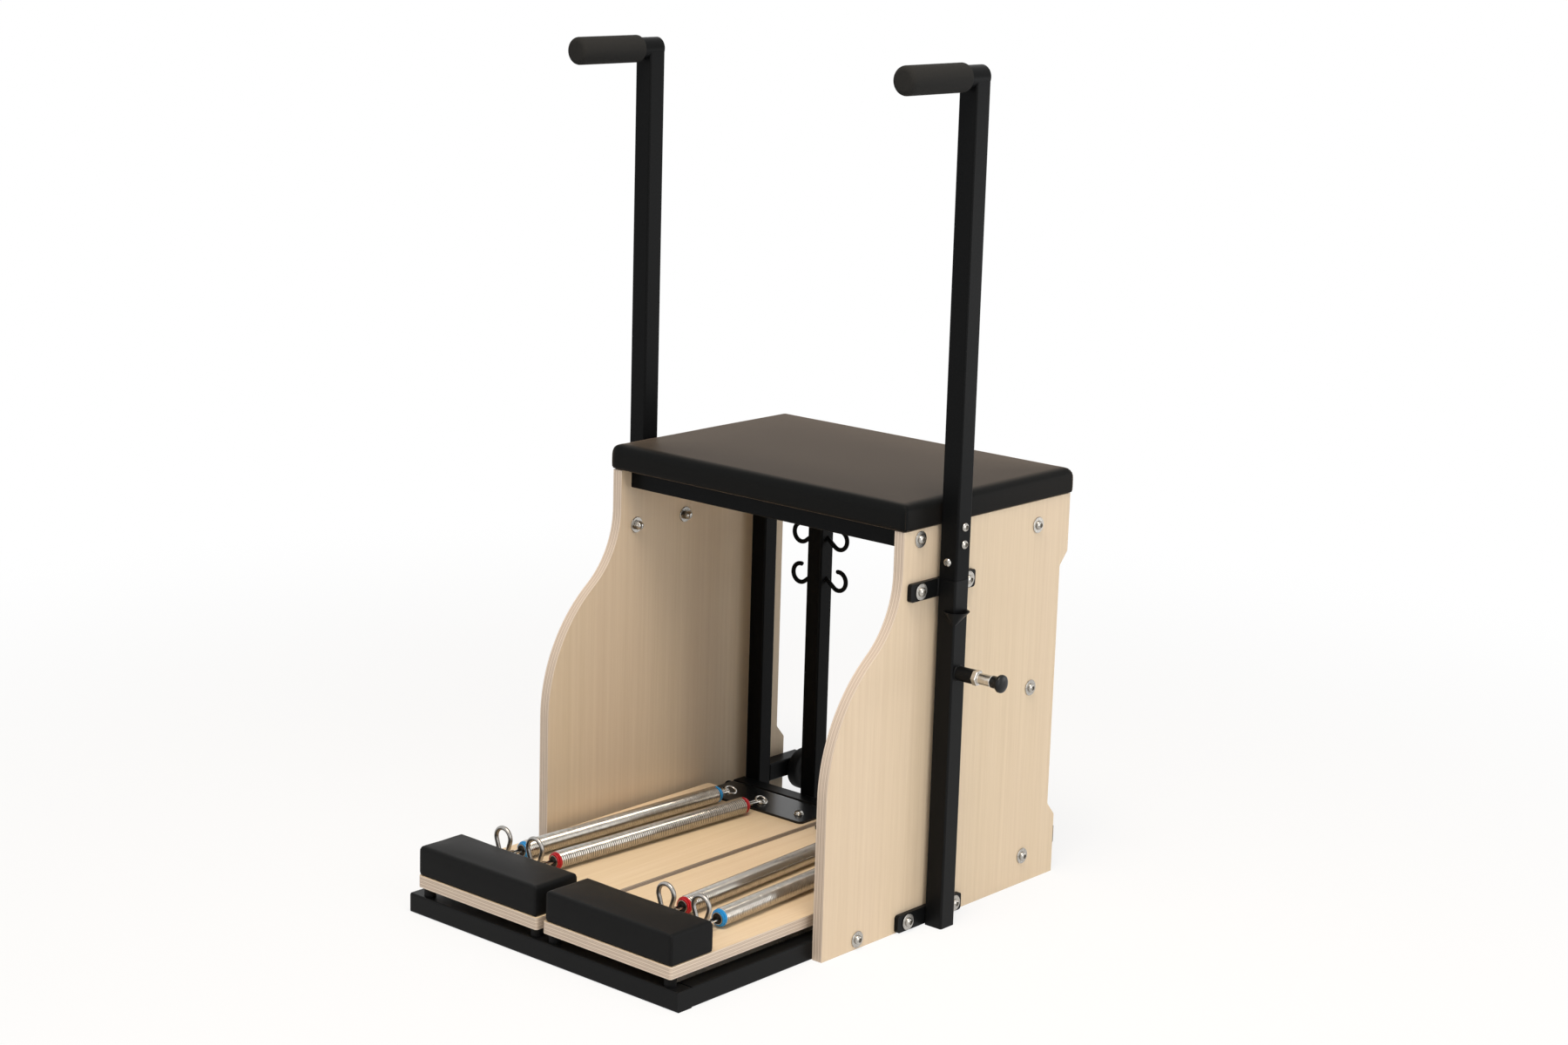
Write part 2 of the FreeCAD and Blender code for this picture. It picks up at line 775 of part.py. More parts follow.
def hinge_plate():
    plate = box((plate_inner, plate_outer), (plate_front, pivot_line), (board_top, plate_top))
    front_corners = [edge for edge in plate.Edges
                     if edge.BoundBox.ZLength > plate_thick / 2 and edge.BoundBox.YMax < board_rear]
    plate = plate.makeFillet(plate_corner, front_corners)
    pipe = cylinder(V(plate_inner, pivot_line, pivot_height), X_AXIS, knuckle, plate_width)
    bore = cylinder(V(plate_inner - overrun, pivot_line, pivot_height), X_AXIS, shaft + 2 * shaft_play,
                    plate_width + 2 * overrun)
    depth = plate_thick + 2 * overrun
    holes = [cylinder(V(x, plate_bolt_line, board_top - overrun), Z_AXIS, bolt + 2 * bolt_play, depth)
             for x in plate_bolt_places()]
    return plate.fuse(pipe).cut([bore] + holes)


def plate_bolts():
    made = dome_bolt(plate_thick + board_thick, bolt, bolt_head, bolt_rise, plate_washer, plate_washer_thick)
    return [moved(made, V(x, plate_bolt_line, plate_top)) for x in plate_bolt_places()]


def hinge_lug(start):
    radius = lug_radius
    corners = [V(start, cross_front, cross_raise), V(start, cross_front, cross_raise + tube),
               V(start, pivot_line, pivot_height + radius), V(start, pivot_line, pivot_height - radius)]
    arm = prism(corners, V(lug_thick, 0, 0))
    eye = cylinder(V(start, pivot_line, pivot_height), X_AXIS, 2 * radius, lug_thick)
    bore = cylinder(V(start - overrun, pivot_line, pivot_height), X_AXIS, shaft + 2 * shaft_play,
                    lug_thick + 2 * overrun)
    return arm.fuse(eye).cut(bore)


def hinge_lugs():
    return [hinge_lug(plate_inner - lug_gap - lug_thick), hinge_lug(plate_outer + lug_gap)]


def hinge_shaft():
    reach = plate_outer + lug_gap + lug_thick + shaft_tail
    return cylinder(V(-reach, pivot_line, pivot_height), X_AXIS, shaft, 2 * reach)


def bumpers():
    height = board_lift - bumper_gap
    return [cylinder(V(x, base_front + tube / 2, tube), Z_AXIS, bumper, height)
            for x in (board_inner + bumper_inset, board_outer - bumper_inset)]


def eye_bolt(x):
    """Wire that rises through the board, loops over and comes back to its own root, with nut and washer."""
    angle = eye_angle()
    left, right = V(-math.sin(angle), 0, math.cos(angle)), V(math.sin(angle), 0, math.cos(angle))
    apex = V(0, 0, eye_apex())
    middle = apex + V(0, 0, eye_radius / math.sin(angle))
    bend = eye_bend * math.tan(angle / 2)
    foot = V(0, 0, board_low - eye_washer_thick - eye_nut_thick - eye_tail)
    touch_left = middle + V(-math.cos(angle), 0, -math.sin(angle)) * eye_radius
    touch_right = middle + V(math.cos(angle), 0, -math.sin(angle)) * eye_radius
    crown = middle + V(0, 0, eye_radius)
    tip = apex + right * ((eye_wire + eye_gap) / math.sin(2 * angle))
    half = (math.pi / 2 + angle) / 2
    side = V(math.sin(half), 0, math.cos(half)) * eye_radius
    below, above = apex - V(0, 0, bend), apex + left * bend
    path = [Part.makeLine(foot, below), corner_arc(below, apex, above), Part.makeLine(above, touch_left),
            arc(touch_left, middle + V(-side.x, 0, side.z), crown), arc(crown, middle + side, touch_right),
            Part.makeLine(touch_right, tip)]
    loop = wire_solid(path, eye_wire, foot, Z_AXIS)
    bore = cylinder(foot - V(0, 0, overrun), Z_AXIS, eye_wire + 2 * eye_play, board_thick)
    ring = cylinder(V(0, 0, board_low - eye_washer_thick), Z_AXIS, eye_washer, eye_washer_thick)
    nut = moved(hexagon(eye_nut_flats, eye_nut_thick), V(0, 0, board_low - eye_washer_thick - eye_nut_thick))
    return [moved(piece, V(x, eye_line, 0)) for piece in (loop, ring.fuse(nut).cut(bore))]


def eye_bolts():
    return eye_bolt(eye_places[0]) + eye_bolt(eye_places[1])


# Springs, drawn along +Y with the eye bolt's pivot at the origin

def spring_axis(y):
    return V(0, y, end_bend)


def coil_point(turn, lead, first, radius):
    angle = 2 * math.pi * turn
    return V(radius * math.sin(angle), first + lead * turn, end_bend + radius * math.cos(angle))


def coil_run(turn, lead, radius):
    angle = 2 * math.pi * turn
    run = V(2 * math.pi * radius * math.cos(angle), lead, -2 * math.pi * radius * math.sin(angle))
    return run.normalize()


def least_gap(points, per_turn):
    """Least clear distance between stretches of the wire that are half a turn or more apart."""
    skip = per_turn // 2
    least = min((a - b).Length for i, a in enumerate(points) for b in points[i + skip:i + 2 * per_turn])
    return least - spring_wire


def spring_coil():
    radius = (spring_outside - spring_wire) / 2
    low, high = coil_start, coil_start + coil_length
    first = low + spring_wire + coil_bend
    lead = (high - spring_wire - coil_bend - first) / coil_curls
    halves = 2 * coil_curls
    turns = [i / 2 for i in range(halves + 1)]
    points = [coil_point(t, lead, first, radius) for t in turns]
    runs = [coil_run(t, lead, radius) for t in turns]
    leg = coil_bend * math.tan(math.acos(runs[0].y) / 2)
    enter = points[0] - runs[0] * leg
    leave = points[-1] + runs[-1] * leg
    start, end = V(enter.x, low, enter.z), V(leave.x, high, leave.z)
    path = [Part.makeLine(start, enter - Y_AXIS * leg), corner_arc(enter - Y_AXIS * leg, enter, points[0])]
    for i in range(halves):
        path += biarc(points[i], runs[i], points[i + 1], runs[i + 1])
    path += [corner_arc(points[-1], leave, leave + Y_AXIS * leg), Part.makeLine(leave + Y_AXIS * leg, end)]
    per_turn = 24
    samples = [coil_point(i / per_turn, lead, first, radius) for i in range(per_turn * coil_curls + 1)]
    print("spring: %d curls, least gap %.2f mm" % (coil_curls, least_gap(samples, per_turn)))
    return wire_solid(path, spring_wire, start, Y_AXIS, coil_sides)


def spring_caps():
    front = cylinder(spring_axis(end_shank + plug_length), Y_AXIS, collar, collar_length)
    front = front.fuse(cylinder(spring_axis(coil_start - cap_length), Y_AXIS, cap, cap_length))
    back = front.mirror(spring_axis(coil_start + coil_length / 2), Y_AXIS)
    return [front, back]


def spring_ends():
    """Plugs on the caps, the front one with a hook over the eye bolt and the rear one with an open ring."""
    tip = math.radians(end_tip_deg)
    half = (math.pi / 2 + tip) / 2
    start, top = spring_axis(end_shank), spring_axis(0)
    path = [Part.makeLine(start, top), arc(top, V(0, math.cos(half), math.sin(half)) * end_bend,
                                           V(0, math.cos(tip), math.sin(tip)) * end_bend)]
    front = wire_solid(path, end_wire, start, Y_AXIS).fuse(cylinder(start, Y_AXIS, plug, plug_length))
    seat = coil_start + coil_length + coil_start - end_shank
    foot = spring_axis(seat - plug_length)
    rise = math.acos(ring_neck / (ring_neck + ring_radius))
    neck = spring_axis(seat + ring_lead)
    lift = neck + V(0, ring_neck * math.sin(rise), ring_neck * (1 - math.cos(rise)))
    corner = neck + Y_AXIS * (ring_neck * math.tan(rise / 2))
    middle = neck + Y_AXIS * ((ring_neck + ring_radius) * math.sin(rise))
    first = math.pi / 2 + rise
    turns = [middle + V(0, math.cos(a), math.sin(a)) * ring_radius
             for a in [first - math.radians(ring_tip_deg) * i / 4 for i in range(5)]]
    path = [Part.makeLine(spring_axis(seat), neck), corner_arc(neck, corner, lift),
            arc(turns[0], turns[1], turns[2]), arc(turns[2], turns[3], turns[4])]
    rear = wire_solid(path, end_wire, spring_axis(seat), Y_AXIS)
    rear = rear.fuse(cylinder(foot, Y_AXIS, plug, plug_length))
    return [front, rear]


def spring_placed(shape, side, x):
    """Set a spring on its eye bolt, leaning in towards its post."""
    copy = shape.copy()
    copy.rotate(V(0, 0, 0), Z_AXIS, side * spring_lean_deg)
    copy.translate(V(side * x, eye_line, eye_pivot_height))
    return copy


# Transport wheels

def wheel_arm():
    """Closed tube welded to the back of a corner post and bored across for the axle."""
    foot = V(half_inner - tube / 2, post_back, arm_raise + tube / 2)
    arm = closed_tube(foot, Y_AXIS, wheel_line + arm_tail - post_back)
    start = V(half_inner - tube - overrun, wheel_line, wheel_height)
    return arm.cut(cylinder(start, X_AXIS, axle + 2 * axle_play, tube + 2 * overrun))


def wheel_axle():
    def along(x, diameter, length):
        return cylinder(V(x, wheel_line, wheel_height), X_AXIS, diameter, length)
    head = along(wheel_inner - wheel_gap - axle_head_thick, axle_head, axle_head_thick)
    pin = along(wheel_inner - wheel_gap, axle, half_inner + axle_head_thick - wheel_inner + wheel_gap)
    nut = along(half_inner, axle_head, axle_head_thick)
    return head.fuse([pin, nut])


def road_wheel():
    half, outer, hub, turn = wheel_width / 2, wheel / 2, wheel_hub / 2, wheel_round
    rim, dish, bore = outer - wheel_rim, half - wheel_dish, axle / 2 + axle_play
    side = [V(bore, 0, -half), V(hub, 0, -half), V(hub, 0, -dish), V(rim, 0, -dish), V(rim, 0, -half),
            V(outer - turn, 0, -half), V(outer, 0, -half + turn)]
    other = [V(point.x, 0, -point.z) for point in reversed(side)]
    middle = V((wheel_inner + wheel_outer) / 2, wheel_line, wheel_height)
    return placed(revolved(side + other), middle, X_AXIS)


# All the pieces

def save(name, shape):
    shape = moved(shape, V(0, -centre_y, 0))
    shape.exportStep("parts/%s.step" % name)


def save_sides(name, shape):
    save(name + "_left", mirrored(shape))
    save(name + "_right", shape)


def main():
    os.makedirs("parts", exist_ok=True)
    save_sides("side_panel", side_panel())
    save("panel_bolts", group([piece for made in panel_bolts() for piece in both(made)]))
    save("bracket_fasteners", group([piece for made in bracket_fasteners() for piece in both(made)]))
    save("seat_pad", seat_pad())
    save("seat_board", seat_board_box())
    save("seat_front_tube", seat_front_tube())
    save("seat_rear_tube", cross_tube(post_line, panel_height - tube / 2))
    save("base_front_tube", closed_tube(V(-half_inner, base_front + tube / 2, tube / 2), X_AXIS, inner_width))
    save("base_side_tubes", group(both(base_side_tube())))
    save("base_rear_tube", cross_tube(cross_front + tube / 2, cross_raise + tube / 2))
    save("corner_posts", group(both(corner_post())))
    save_sides("spring_post", spring_post())
    save_sides("spring_hooks", group(spring_hooks()))
    save("hinge_lugs", group([piece for made in hinge_lugs() for piece in both(made)]))
    save("hinge_shaft", hinge_shaft())
    save("base_bumpers", group([piece for made in bumpers() for piece in both(made)]))
    save_sides("handle_sleeve", handle_sleeve())
    save_sides("plunger_body", plunger_body())
    save("wheel_arms", group(both(wheel_arm())))
    save("wheel_axles", group(both(wheel_axle())))
    save_sides("pedal_board", pedal_board())
    save_sides("foot_pad", foot_pad())
    save_sides("hinge_plate", hinge_plate())
    save_sides("plate_bolts", group(plate_bolts()))
    save_sides("eye_bolts", group(eye_bolts()))
    coil, caps, ends = spring_coil(), group(spring_caps()), group(spring_ends())
    for side, side_name in ((-1, "left"), (1, "right")):
        for x, colour in zip(eye_places, ("blue", "red")):
            for shape, piece in ((coil, "coil"), (caps, "caps"), (ends, "ends")):
                save("spring_%s_%s_%s" % (piece, colour, side_name), spring_placed(shape, side, x))
    save_sides("handle_post", handle_post())
    save_sides("handle_inner_tube", inner_tube())
    save_sides("handle_grip", handle_grip())
    save_sides("handle_screws", group(handle_screws()))
    save_sides("plunger", plunger_rod())
    save_sides("wheel", road_wheel())
    print("pedal pivot", -centre_y + pivot_line, pivot_height)
    print("eye pivots", eye_places, eye_line - centre_y, eye_pivot_height)
    print("wheel axle", (wheel_inner + wheel_outer) / 2, wheel_line - centre_y, wheel_height)
    print("handle", sleeve_x, sleeve_line - centre_y, plunger_height)


main()
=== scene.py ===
# %% [markdown]
# # A pilates chair, dressed in Blender
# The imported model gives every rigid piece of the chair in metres, with the floor at zero, the pedals
# towards -Y and the right-hand side at +X. This lesson keeps the plywood and the welded tube as they are,
# gives them real finishes, and models the soft, wound and turned pieces anew.

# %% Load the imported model
import math

import bmesh
import bpy
from mathutils import Matrix, Vector
from mathutils.bvhtree import BVHTree


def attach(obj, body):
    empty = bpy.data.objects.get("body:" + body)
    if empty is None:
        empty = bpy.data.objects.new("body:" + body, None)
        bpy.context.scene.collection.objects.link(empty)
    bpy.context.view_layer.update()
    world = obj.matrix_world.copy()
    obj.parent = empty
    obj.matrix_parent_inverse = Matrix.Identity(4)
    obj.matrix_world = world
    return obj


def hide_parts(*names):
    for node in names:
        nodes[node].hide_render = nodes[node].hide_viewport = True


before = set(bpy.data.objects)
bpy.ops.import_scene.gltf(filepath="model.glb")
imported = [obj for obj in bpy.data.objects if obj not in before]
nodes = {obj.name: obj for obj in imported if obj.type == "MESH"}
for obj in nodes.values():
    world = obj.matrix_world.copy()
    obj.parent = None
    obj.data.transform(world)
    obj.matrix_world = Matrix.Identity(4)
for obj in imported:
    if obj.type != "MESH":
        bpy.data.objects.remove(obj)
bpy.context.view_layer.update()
MM = 0.001
SIDES = {"left": -1, "right": 1}
scene = bpy.context.scene
scene.view_settings.view_transform = "Standard"

# %% [markdown]
# ## Camera
# The photograph was taken from the front right, a little above the seat, with a long lens. Its place can
# be dragged by eye, or worked out from edges whose real lengths are known. The second way is steadier, so
# the numbers here come from the chair's own corners. The camera also leans by a degree or two.

# %% Camera
CAMERA_PLACE = (2.7926, -3.1548, 1.5478)
CAMERA_TURN, CAMERA_RISE, CAMERA_LEAN = (math.radians(a) for a in (40.92, 12.96, 1.69))
SENSOR_WIDTH, LENS = 36.0, 66.06
backward = Vector((math.sin(CAMERA_TURN) * math.cos(CAMERA_RISE),
                   -math.cos(CAMERA_TURN) * math.cos(CAMERA_RISE), math.sin(CAMERA_RISE)))
level = Vector((math.cos(CAMERA_TURN), math.sin(CAMERA_TURN), 0.0))
upright = backward.cross(level)
across = math.cos(CAMERA_LEAN) * level + math.sin(CAMERA_LEAN) * upright
upward = math.cos(CAMERA_LEAN) * upright - math.sin(CAMERA_LEAN) * level
camera = bpy.data.objects.new("camera", bpy.data.cameras.new("camera"))
camera.data.sensor_fit = "HORIZONTAL"
camera.data.sensor_width = SENSOR_WIDTH
camera.data.lens = LENS
turn = Matrix((across, upward, backward)).transposed().to_4x4()
camera.matrix_world = Matrix.Translation(CAMERA_PLACE) @ turn
scene.collection.objects.link(camera)
scene.camera = camera
print("camera at", CAMERA_PLACE, "with a", LENS, "mm lens")

# %% [markdown]
# ## Colours and nodes
# Colours are picked as sRGB hex values, the way a paint chart gives them, but Blender's sockets want linear
# light, so one function converts them. A second one adds a shader node with its settings, its socket values
# and its links, which keeps every material below to a few readable lines.

# %% Helpers for materials


def linear(hex_colour):
    """sRGB hex to the linear colour that a socket takes."""
    channels = [int(hex_colour[i:i + 2], 16) / 255 for i in (1, 3, 5)]
    return [c / 12.92 if c <= 0.04045 else ((c + 0.055) / 1.055) ** 2.4 for c in channels] + [1.0]


def add(tree, kind, inputs=None, links=None, **settings):
    """Add a node: settings are its properties, inputs fill its sockets, links feed them."""
    node = tree.nodes.new("ShaderNode" + kind)
    for name, value in settings.items():
        setattr(node, name, value)
    for name, value in (inputs or {}).items():
        node.inputs[name].default_value = value
    for name, source in (links or {}).items():
        tree.links.new(source, node.inputs[name])
    return node


def new_finish(name, sockets):
    """A material with one Principled shader, and its constants set on the shader's own sockets."""
    made = bpy.data.materials.new(name)
    made.use_nodes = True
    shader = made.node_tree.nodes["Principled BSDF"]
    for socket, value in sockets.items():
        shader.inputs[socket].default_value = value
    return made, made.node_tree, shader


def ramp(tree, source, stops):
    """Colour ramp through (place, hex colour) stops."""
    node = add(tree, "ValToRGB", links={"Fac": source})
    band = node.color_ramp
    while len(band.elements) < len(stops):
        band.elements.new(0.5)
    for element, (place, colour) in zip(band.elements, stops):
        element.position = place
        element.color = linear(colour)
    return node.outputs["Color"]


print("white paper in linear light:", [round(c, 3) for c in linear("#F2F2F0")])

# %% [markdown]
# ## Floor, background and light
# The chair stands on a white sweep that shows no horizon. A backdrop could be overlit until it clips, but
# that would bleach the chair as well. So the sky is white only for rays that come from the camera or from a
# gloss, and the floor mixes a plain diffuse white with the same trick. The share of that mix falls to nothing
# under the pedals, where the floor lies in real shade, keeps a faint shadow round the chair, and rises to
# pure white where the floor runs out to the horizon. A warm lamp hangs almost overhead, a broad one stands to
# the right, and a small one low behind it draws the gloss on the black tube.

# %% Floor and sky
FLOOR_HALF = 14.0
SHADE_MIDDLE, SHADE_HALF = (0.0, -0.08, 0.0), (0.25, 0.34, 0.0)
SHADE_INNER, SHADE_OUTER = -0.03, 0.02
GLOW_NEAR, GLOW_FAR, GLOW_LEAST = 0.9, 2.6, 0.80
ROOM_STRENGTH = 0.42


def seen_directly(tree):
    """One for a ray from the camera or from a gloss, and nothing for any other."""
    path = add(tree, "LightPath")
    return add(tree, "Math", links={0: path.outputs["Is Camera Ray"], 1: path.outputs["Is Glossy Ray"]},
               operation="MAXIMUM").outputs[0]


bm = bmesh.new()
bmesh.ops.create_grid(bm, x_segments=1, y_segments=1, size=FLOOR_HALF)
floor_mesh = bpy.data.meshes.new("floor")
bm.to_mesh(floor_mesh)
bm.free()
floor = bpy.data.objects.new("floor", floor_mesh)
scene.collection.objects.link(floor)

paper = bpy.data.materials.new("white_paper_sweep")
paper.use_nodes = True
tree = paper.node_tree
tree.nodes.remove(tree.nodes["Principled BSDF"])
coords = add(tree, "TexCoord")
spread = add(tree, "VectorMath", links={0: coords.outputs["Object"]}, operation="LENGTH")
outer = add(tree, "MapRange", {"From Min": GLOW_NEAR, "From Max": GLOW_FAR, "To Min": GLOW_LEAST},
            {"Value": spread.outputs["Value"]}, interpolation_type="SMOOTHSTEP")
off_middle = add(tree, "VectorMath", {1: SHADE_MIDDLE}, {0: coords.outputs["Object"]}, operation="SUBTRACT")
mirrored = add(tree, "VectorMath", links={0: off_middle.outputs[0]}, operation="ABSOLUTE")
past = add(tree, "VectorMath", {1: SHADE_HALF}, {0: mirrored.outputs[0]}, operation="SUBTRACT")
past = add(tree, "SeparateXYZ", links={0: past.outputs[0]})
past = add(tree, "Math", links={0: past.outputs["X"], 1: past.outputs["Y"]}, operation="MAXIMUM")
outside = add(tree, "MapRange", {"From Min": SHADE_INNER, "From Max": SHADE_OUTER},
              {"Value": past.outputs[0]})
share = add(tree, "Math", links={0: outer.outputs[0], 1: outside.outputs[0]}, operation="MULTIPLY")
share = add(tree, "Math", links={0: share.outputs[0], 1: seen_directly(tree)}, operation="MULTIPLY")
matt = add(tree, "BsdfDiffuse", {"Color": linear("#EFEFEE")})
white = add(tree, "Emission", {"Color": linear("#FFFFFF"), "Strength": 1.0})
both_ways = add(tree, "MixShader", links={0: share.outputs[0], 1: matt.outputs[0], 2: white.outputs[0]})
tree.links.new(both_ways.outputs[0], tree.nodes["Material Output"].inputs["Surface"])
floor.data.materials.append(paper)

world = bpy.data.worlds.new("studio")
world.use_nodes = True
scene.world = world
tree = world.node_tree
room = tree.nodes["Background"]
room.inputs["Color"].default_value = linear("#F7F8FA")
room.inputs["Strength"].default_value = ROOM_STRENGTH
sky = add(tree, "Background", {"Color": linear("#FFFFFF"), "Strength": 1.0})
both_ways = add(tree, "MixShader", links={0: seen_directly(tree), 1: room.outputs[0], 2: sky.outputs[0]})
tree.links.new(both_ways.outputs[0], tree.nodes["World Output"].inputs["Surface"])
print("floor %.0f m across, in a room of strength %.2f" % (2 * FLOOR_HALF, ROOM_STRENGTH))

# %% Soft lamps
LAMPS = {"key": ((0.9, -1.1, 4.1), 1.8, 136.0, "#FFF0DE"),
         "side": ((3.4, -0.5, 1.1), 3.0, 41.0, "#FFFFFF"),
         "fill": ((-1.6, -3.4, 1.6), 2.4, 5.0, "#F4F8FF"),
         "gloss": ((2.3, 2.6, 0.5), 1.2, 11.0, "#FFFFFF")}
LAMP_AIM = Vector((0.0, 0.0, 0.45))
for name, (place, size, power, colour) in LAMPS.items():
    lamp = bpy.data.lights.new(name, "AREA")
    lamp.energy = power
    lamp.size = size
    lamp.color = linear(colour)[:3]
    holder = bpy.data.objects.new(name, lamp)
    aim = Vector(place) - LAMP_AIM
    holder.matrix_world = Matrix.Translation(place) @ aim.to_track_quat("Z", "Y").to_matrix().to_4x4()
    scene.collection.objects.link(holder)
print("lit by", ", ".join(LAMPS))

# %% [markdown]
# ## Lacquered birch plywood
# The panels and pedals are 18 mm birch plywood under a satin lacquer. The face veneer is pale, with broad
# soft bands and fine pores that run with the grain, up the panels and along the pedals. Cut edges show
# the plies, alternately along and across the grain. An image could carry this, but a pattern worked out
# from the point's own place stays sharp at any distance and turns the corner from face to edge.

# %% Birch plywood
BOARD_THICK, PLIES = 18.0, 7
PLY = BOARD_THICK / PLIES
# Each row is a size across the grain, one along it and a detail: broad bands, figure and pores.
GRAINS = ((110.0, 900.0, 2.0), (7.0, 600.0, 4.0), (1.5, 70.0, 2.0))
# A wave texture multiplies a place by this before it draws its bands.
WAVE_FACTOR = 20


def birch_plywood(name, grain, stack, first_ply, colours):
    """Grain runs along one axis and the plies stack along another, from first_ply in millimetres."""
    made, tree, shader = new_finish(name, {"Roughness": 0.50, "Specular IOR Level": 0.35})
    coords = add(tree, "TexCoord")
    noises = []
    for across_mm, along_mm, detail in GRAINS:
        scale = [1 / (across_mm * MM)] * 3
        scale[grain] = 1 / (along_mm * MM)
        stretched = add(tree, "Mapping", {"Scale": scale}, {"Vector": coords.outputs["Object"]})
        noises.append(add(tree, "TexNoise", {"Scale": 1.0, "Detail": detail, "Roughness": 0.6},
                          {"Vector": stretched.outputs["Vector"]}))
    cloud, figure, pores = (noise.outputs["Fac"] for noise in noises)
    tone = add(tree, "Mix", {0: 0.35}, {2: figure, 3: pores}, data_type="FLOAT")
    pale = ramp(tree, tone.outputs[0], [(0.30, colours[0]), (0.70, colours[1])])
    rosy = ramp(tree, tone.outputs[0], [(0.30, colours[2]), (0.70, colours[3])])
    drift = add(tree, "MapRange", {"From Min": 0.35, "From Max": 0.65}, {"Value": cloud})
    veneer = add(tree, "Mix", links={0: drift.outputs[0], 6: pale, 7: rosy}, data_type="RGBA").outputs[2]
    sides = add(tree, "VectorMath", links={0: coords.outputs["Object"]}, operation="ABSOLUTE")
    plies = add(tree, "TexWave", {"Scale": math.pi / (WAVE_FACTOR * PLY * MM), "Distortion": 0.7,
                                  "Detail": 2.0, "Detail Scale": 0.25,
                                  "Phase Offset": -math.pi * (first_ply / PLY + 0.5)},
                {"Vector": sides.outputs[0]}, bands_direction="XYZ"[stack])
    layered = ramp(tree, plies.outputs["Fac"], [(0.20, "#DED3C7"), (0.48, "#CCBCAC"), (0.60, "#8E7969"),
                                                (0.74, "#C6B5A6"), (1.0, "#D6CABD")])
    speck = add(tree, "Mix", {0: 0.20}, {6: layered, 7: veneer}, data_type="RGBA", blend_type="MULTIPLY")
    facing = add(tree, "SeparateXYZ", links={0: coords.outputs["Normal"]})
    flat = add(tree, "Math", links={0: facing.outputs[stack]}, operation="ABSOLUTE")
    on_face = add(tree, "Math", {1: 0.7}, {0: flat.outputs[0]}, operation="GREATER_THAN")
    colour = add(tree, "Mix", links={0: on_face.outputs[0], 6: speck.outputs[2], 7: veneer}, data_type="RGBA")
    tree.links.new(colour.outputs[2], shader.inputs["Base Color"])
    bump = add(tree, "Bump", {"Strength": 0.10, "Distance": 0.2 * MM}, {"Height": pores})
    tree.links.new(bump.outputs["Normal"], shader.inputs["Normal"])
    return made


PANEL_INNER = 274.5
BOARD_LOW = 43.5
panel_ply = birch_plywood("lacquered_birch_plywood_upright", 2, 0, PANEL_INNER,
                          ("#D0BDA1", "#DCCAB0", "#D0BCA2", "#DBC9B0"))
# The lying boards get a lighter, warmer copy of the veneer: painted light, for the stronger light that falls
# on them from above.
pedal_ply_painted_light = birch_plywood("lacquered_birch_plywood_lying", 1, 2, BOARD_LOW,
                          ("#DCC5A2", "#E9D6B6", "#DCC3A2", "#E8D3B6"))
print("plies of %.2f mm" % PLY)

# %% [markdown]
# ## Black coatings, plastics and rubber
# The tube is powder coated: sprayed dry and baked, which leaves a satin black skin with a fine orange peel.
# The base and the handle sleeves shine a little more, and the hinge plates more again. The foam, rubber and
# moulded plastic differ in gloss and in the size of their grain. One function takes the colour, the gloss
# and the grain in millimetres, since only those change.

# %% Grained finishes


def grained(name, sockets, colours, grain_mm, bump_mm, strength, dull=0.08):
    """A finish whose grain varies its colour, its roughness and its height."""
    made, tree, shader = new_finish(name, sockets)
    coords = add(tree, "TexCoord")
    grain = add(tree, "TexNoise", {"Scale": 1 / (grain_mm * MM), "Detail": 2.0, "Roughness": 0.5},
                {"Vector": coords.outputs["Object"]})
    tree.links.new(ramp(tree, grain.outputs["Fac"], [(0.3, colours[0]), (0.7, colours[1])]),
                   shader.inputs["Base Color"])
    rough = sockets["Roughness"]
    gloss = add(tree, "MapRange", {"To Min": rough - dull, "To Max": rough + dull},
                {"Value": grain.outputs["Fac"]})
    tree.links.new(gloss.outputs[0], shader.inputs["Roughness"])
    bump = add(tree, "Bump", {"Strength": strength, "Distance": bump_mm * MM},
               {"Height": grain.outputs["Fac"]})
    tree.links.new(bump.outputs["Normal"], shader.inputs["Normal"])
    return made


# The orange peel is about 0.5 mm across, drawn at 1.4 mm so that it still shows in the picture.
powder_coat = grained("satin_black_powder_coat", {"Roughness": 0.36, "Specular IOR Level": 0.05},
                      ("#0C0D0E", "#121314"), 1.4, 0.08, 0.25)
base_coat = grained("semi_gloss_black_powder_coat", {"Roughness": 0.34, "Specular IOR Level": 0.10},
                    ("#0C0D0E", "#121314"), 1.4, 0.08, 0.25)
gloss_coat = grained("gloss_black_powder_coat", {"Roughness": 0.22, "Specular IOR Level": 0.30},
                     ("#0E0F10", "#131415"), 2.0, 0.05, 0.2)
grip_foam = grained("closed_cell_grip_foam", {"Roughness": 0.80, "Specular IOR Level": 0.06},
                    ("#242424", "#2C2C2B"), 0.9, 0.2, 0.35)
rubber = grained("moulded_black_rubber", {"Roughness": 0.60, "Specular IOR Level": 0.10},
                 ("#131313", "#191919"), 1.0, 0.1, 0.2)
black_nylon_and_painted_shade = grained("moulded_black_nylon", {"Roughness": 0.30, "Specular IOR Level": 0.25},
                       ("#0D0F10", "#131516"), 1.2, 0.04, 0.12)
blue_plastic = grained("moulded_blue_plastic", {"Roughness": 0.30, "Specular IOR Level": 0.35},
                       ("#1C83C4", "#2A94D6"), 3.0, 0.03, 0.1)
red_plastic = grained("moulded_red_plastic", {"Roughness": 0.30, "Specular IOR Level": 0.35},
                      ("#A50E17", "#B81822"), 3.0, 0.03, 0.1)
print("three black coats, foam, rubber and three plastics")

# %% [markdown]
# ## Bright metal
# The springs are cold-drawn steel wire, the screws are stainless, the eye bolts are zinc plated and the
# plunger's barrel is chrome. A metal is all reflection, so its look is its tint and how far drawing or
# polishing blurs it. Faint drawing marks in the roughness break up the mirror.

# %% Steel and chrome


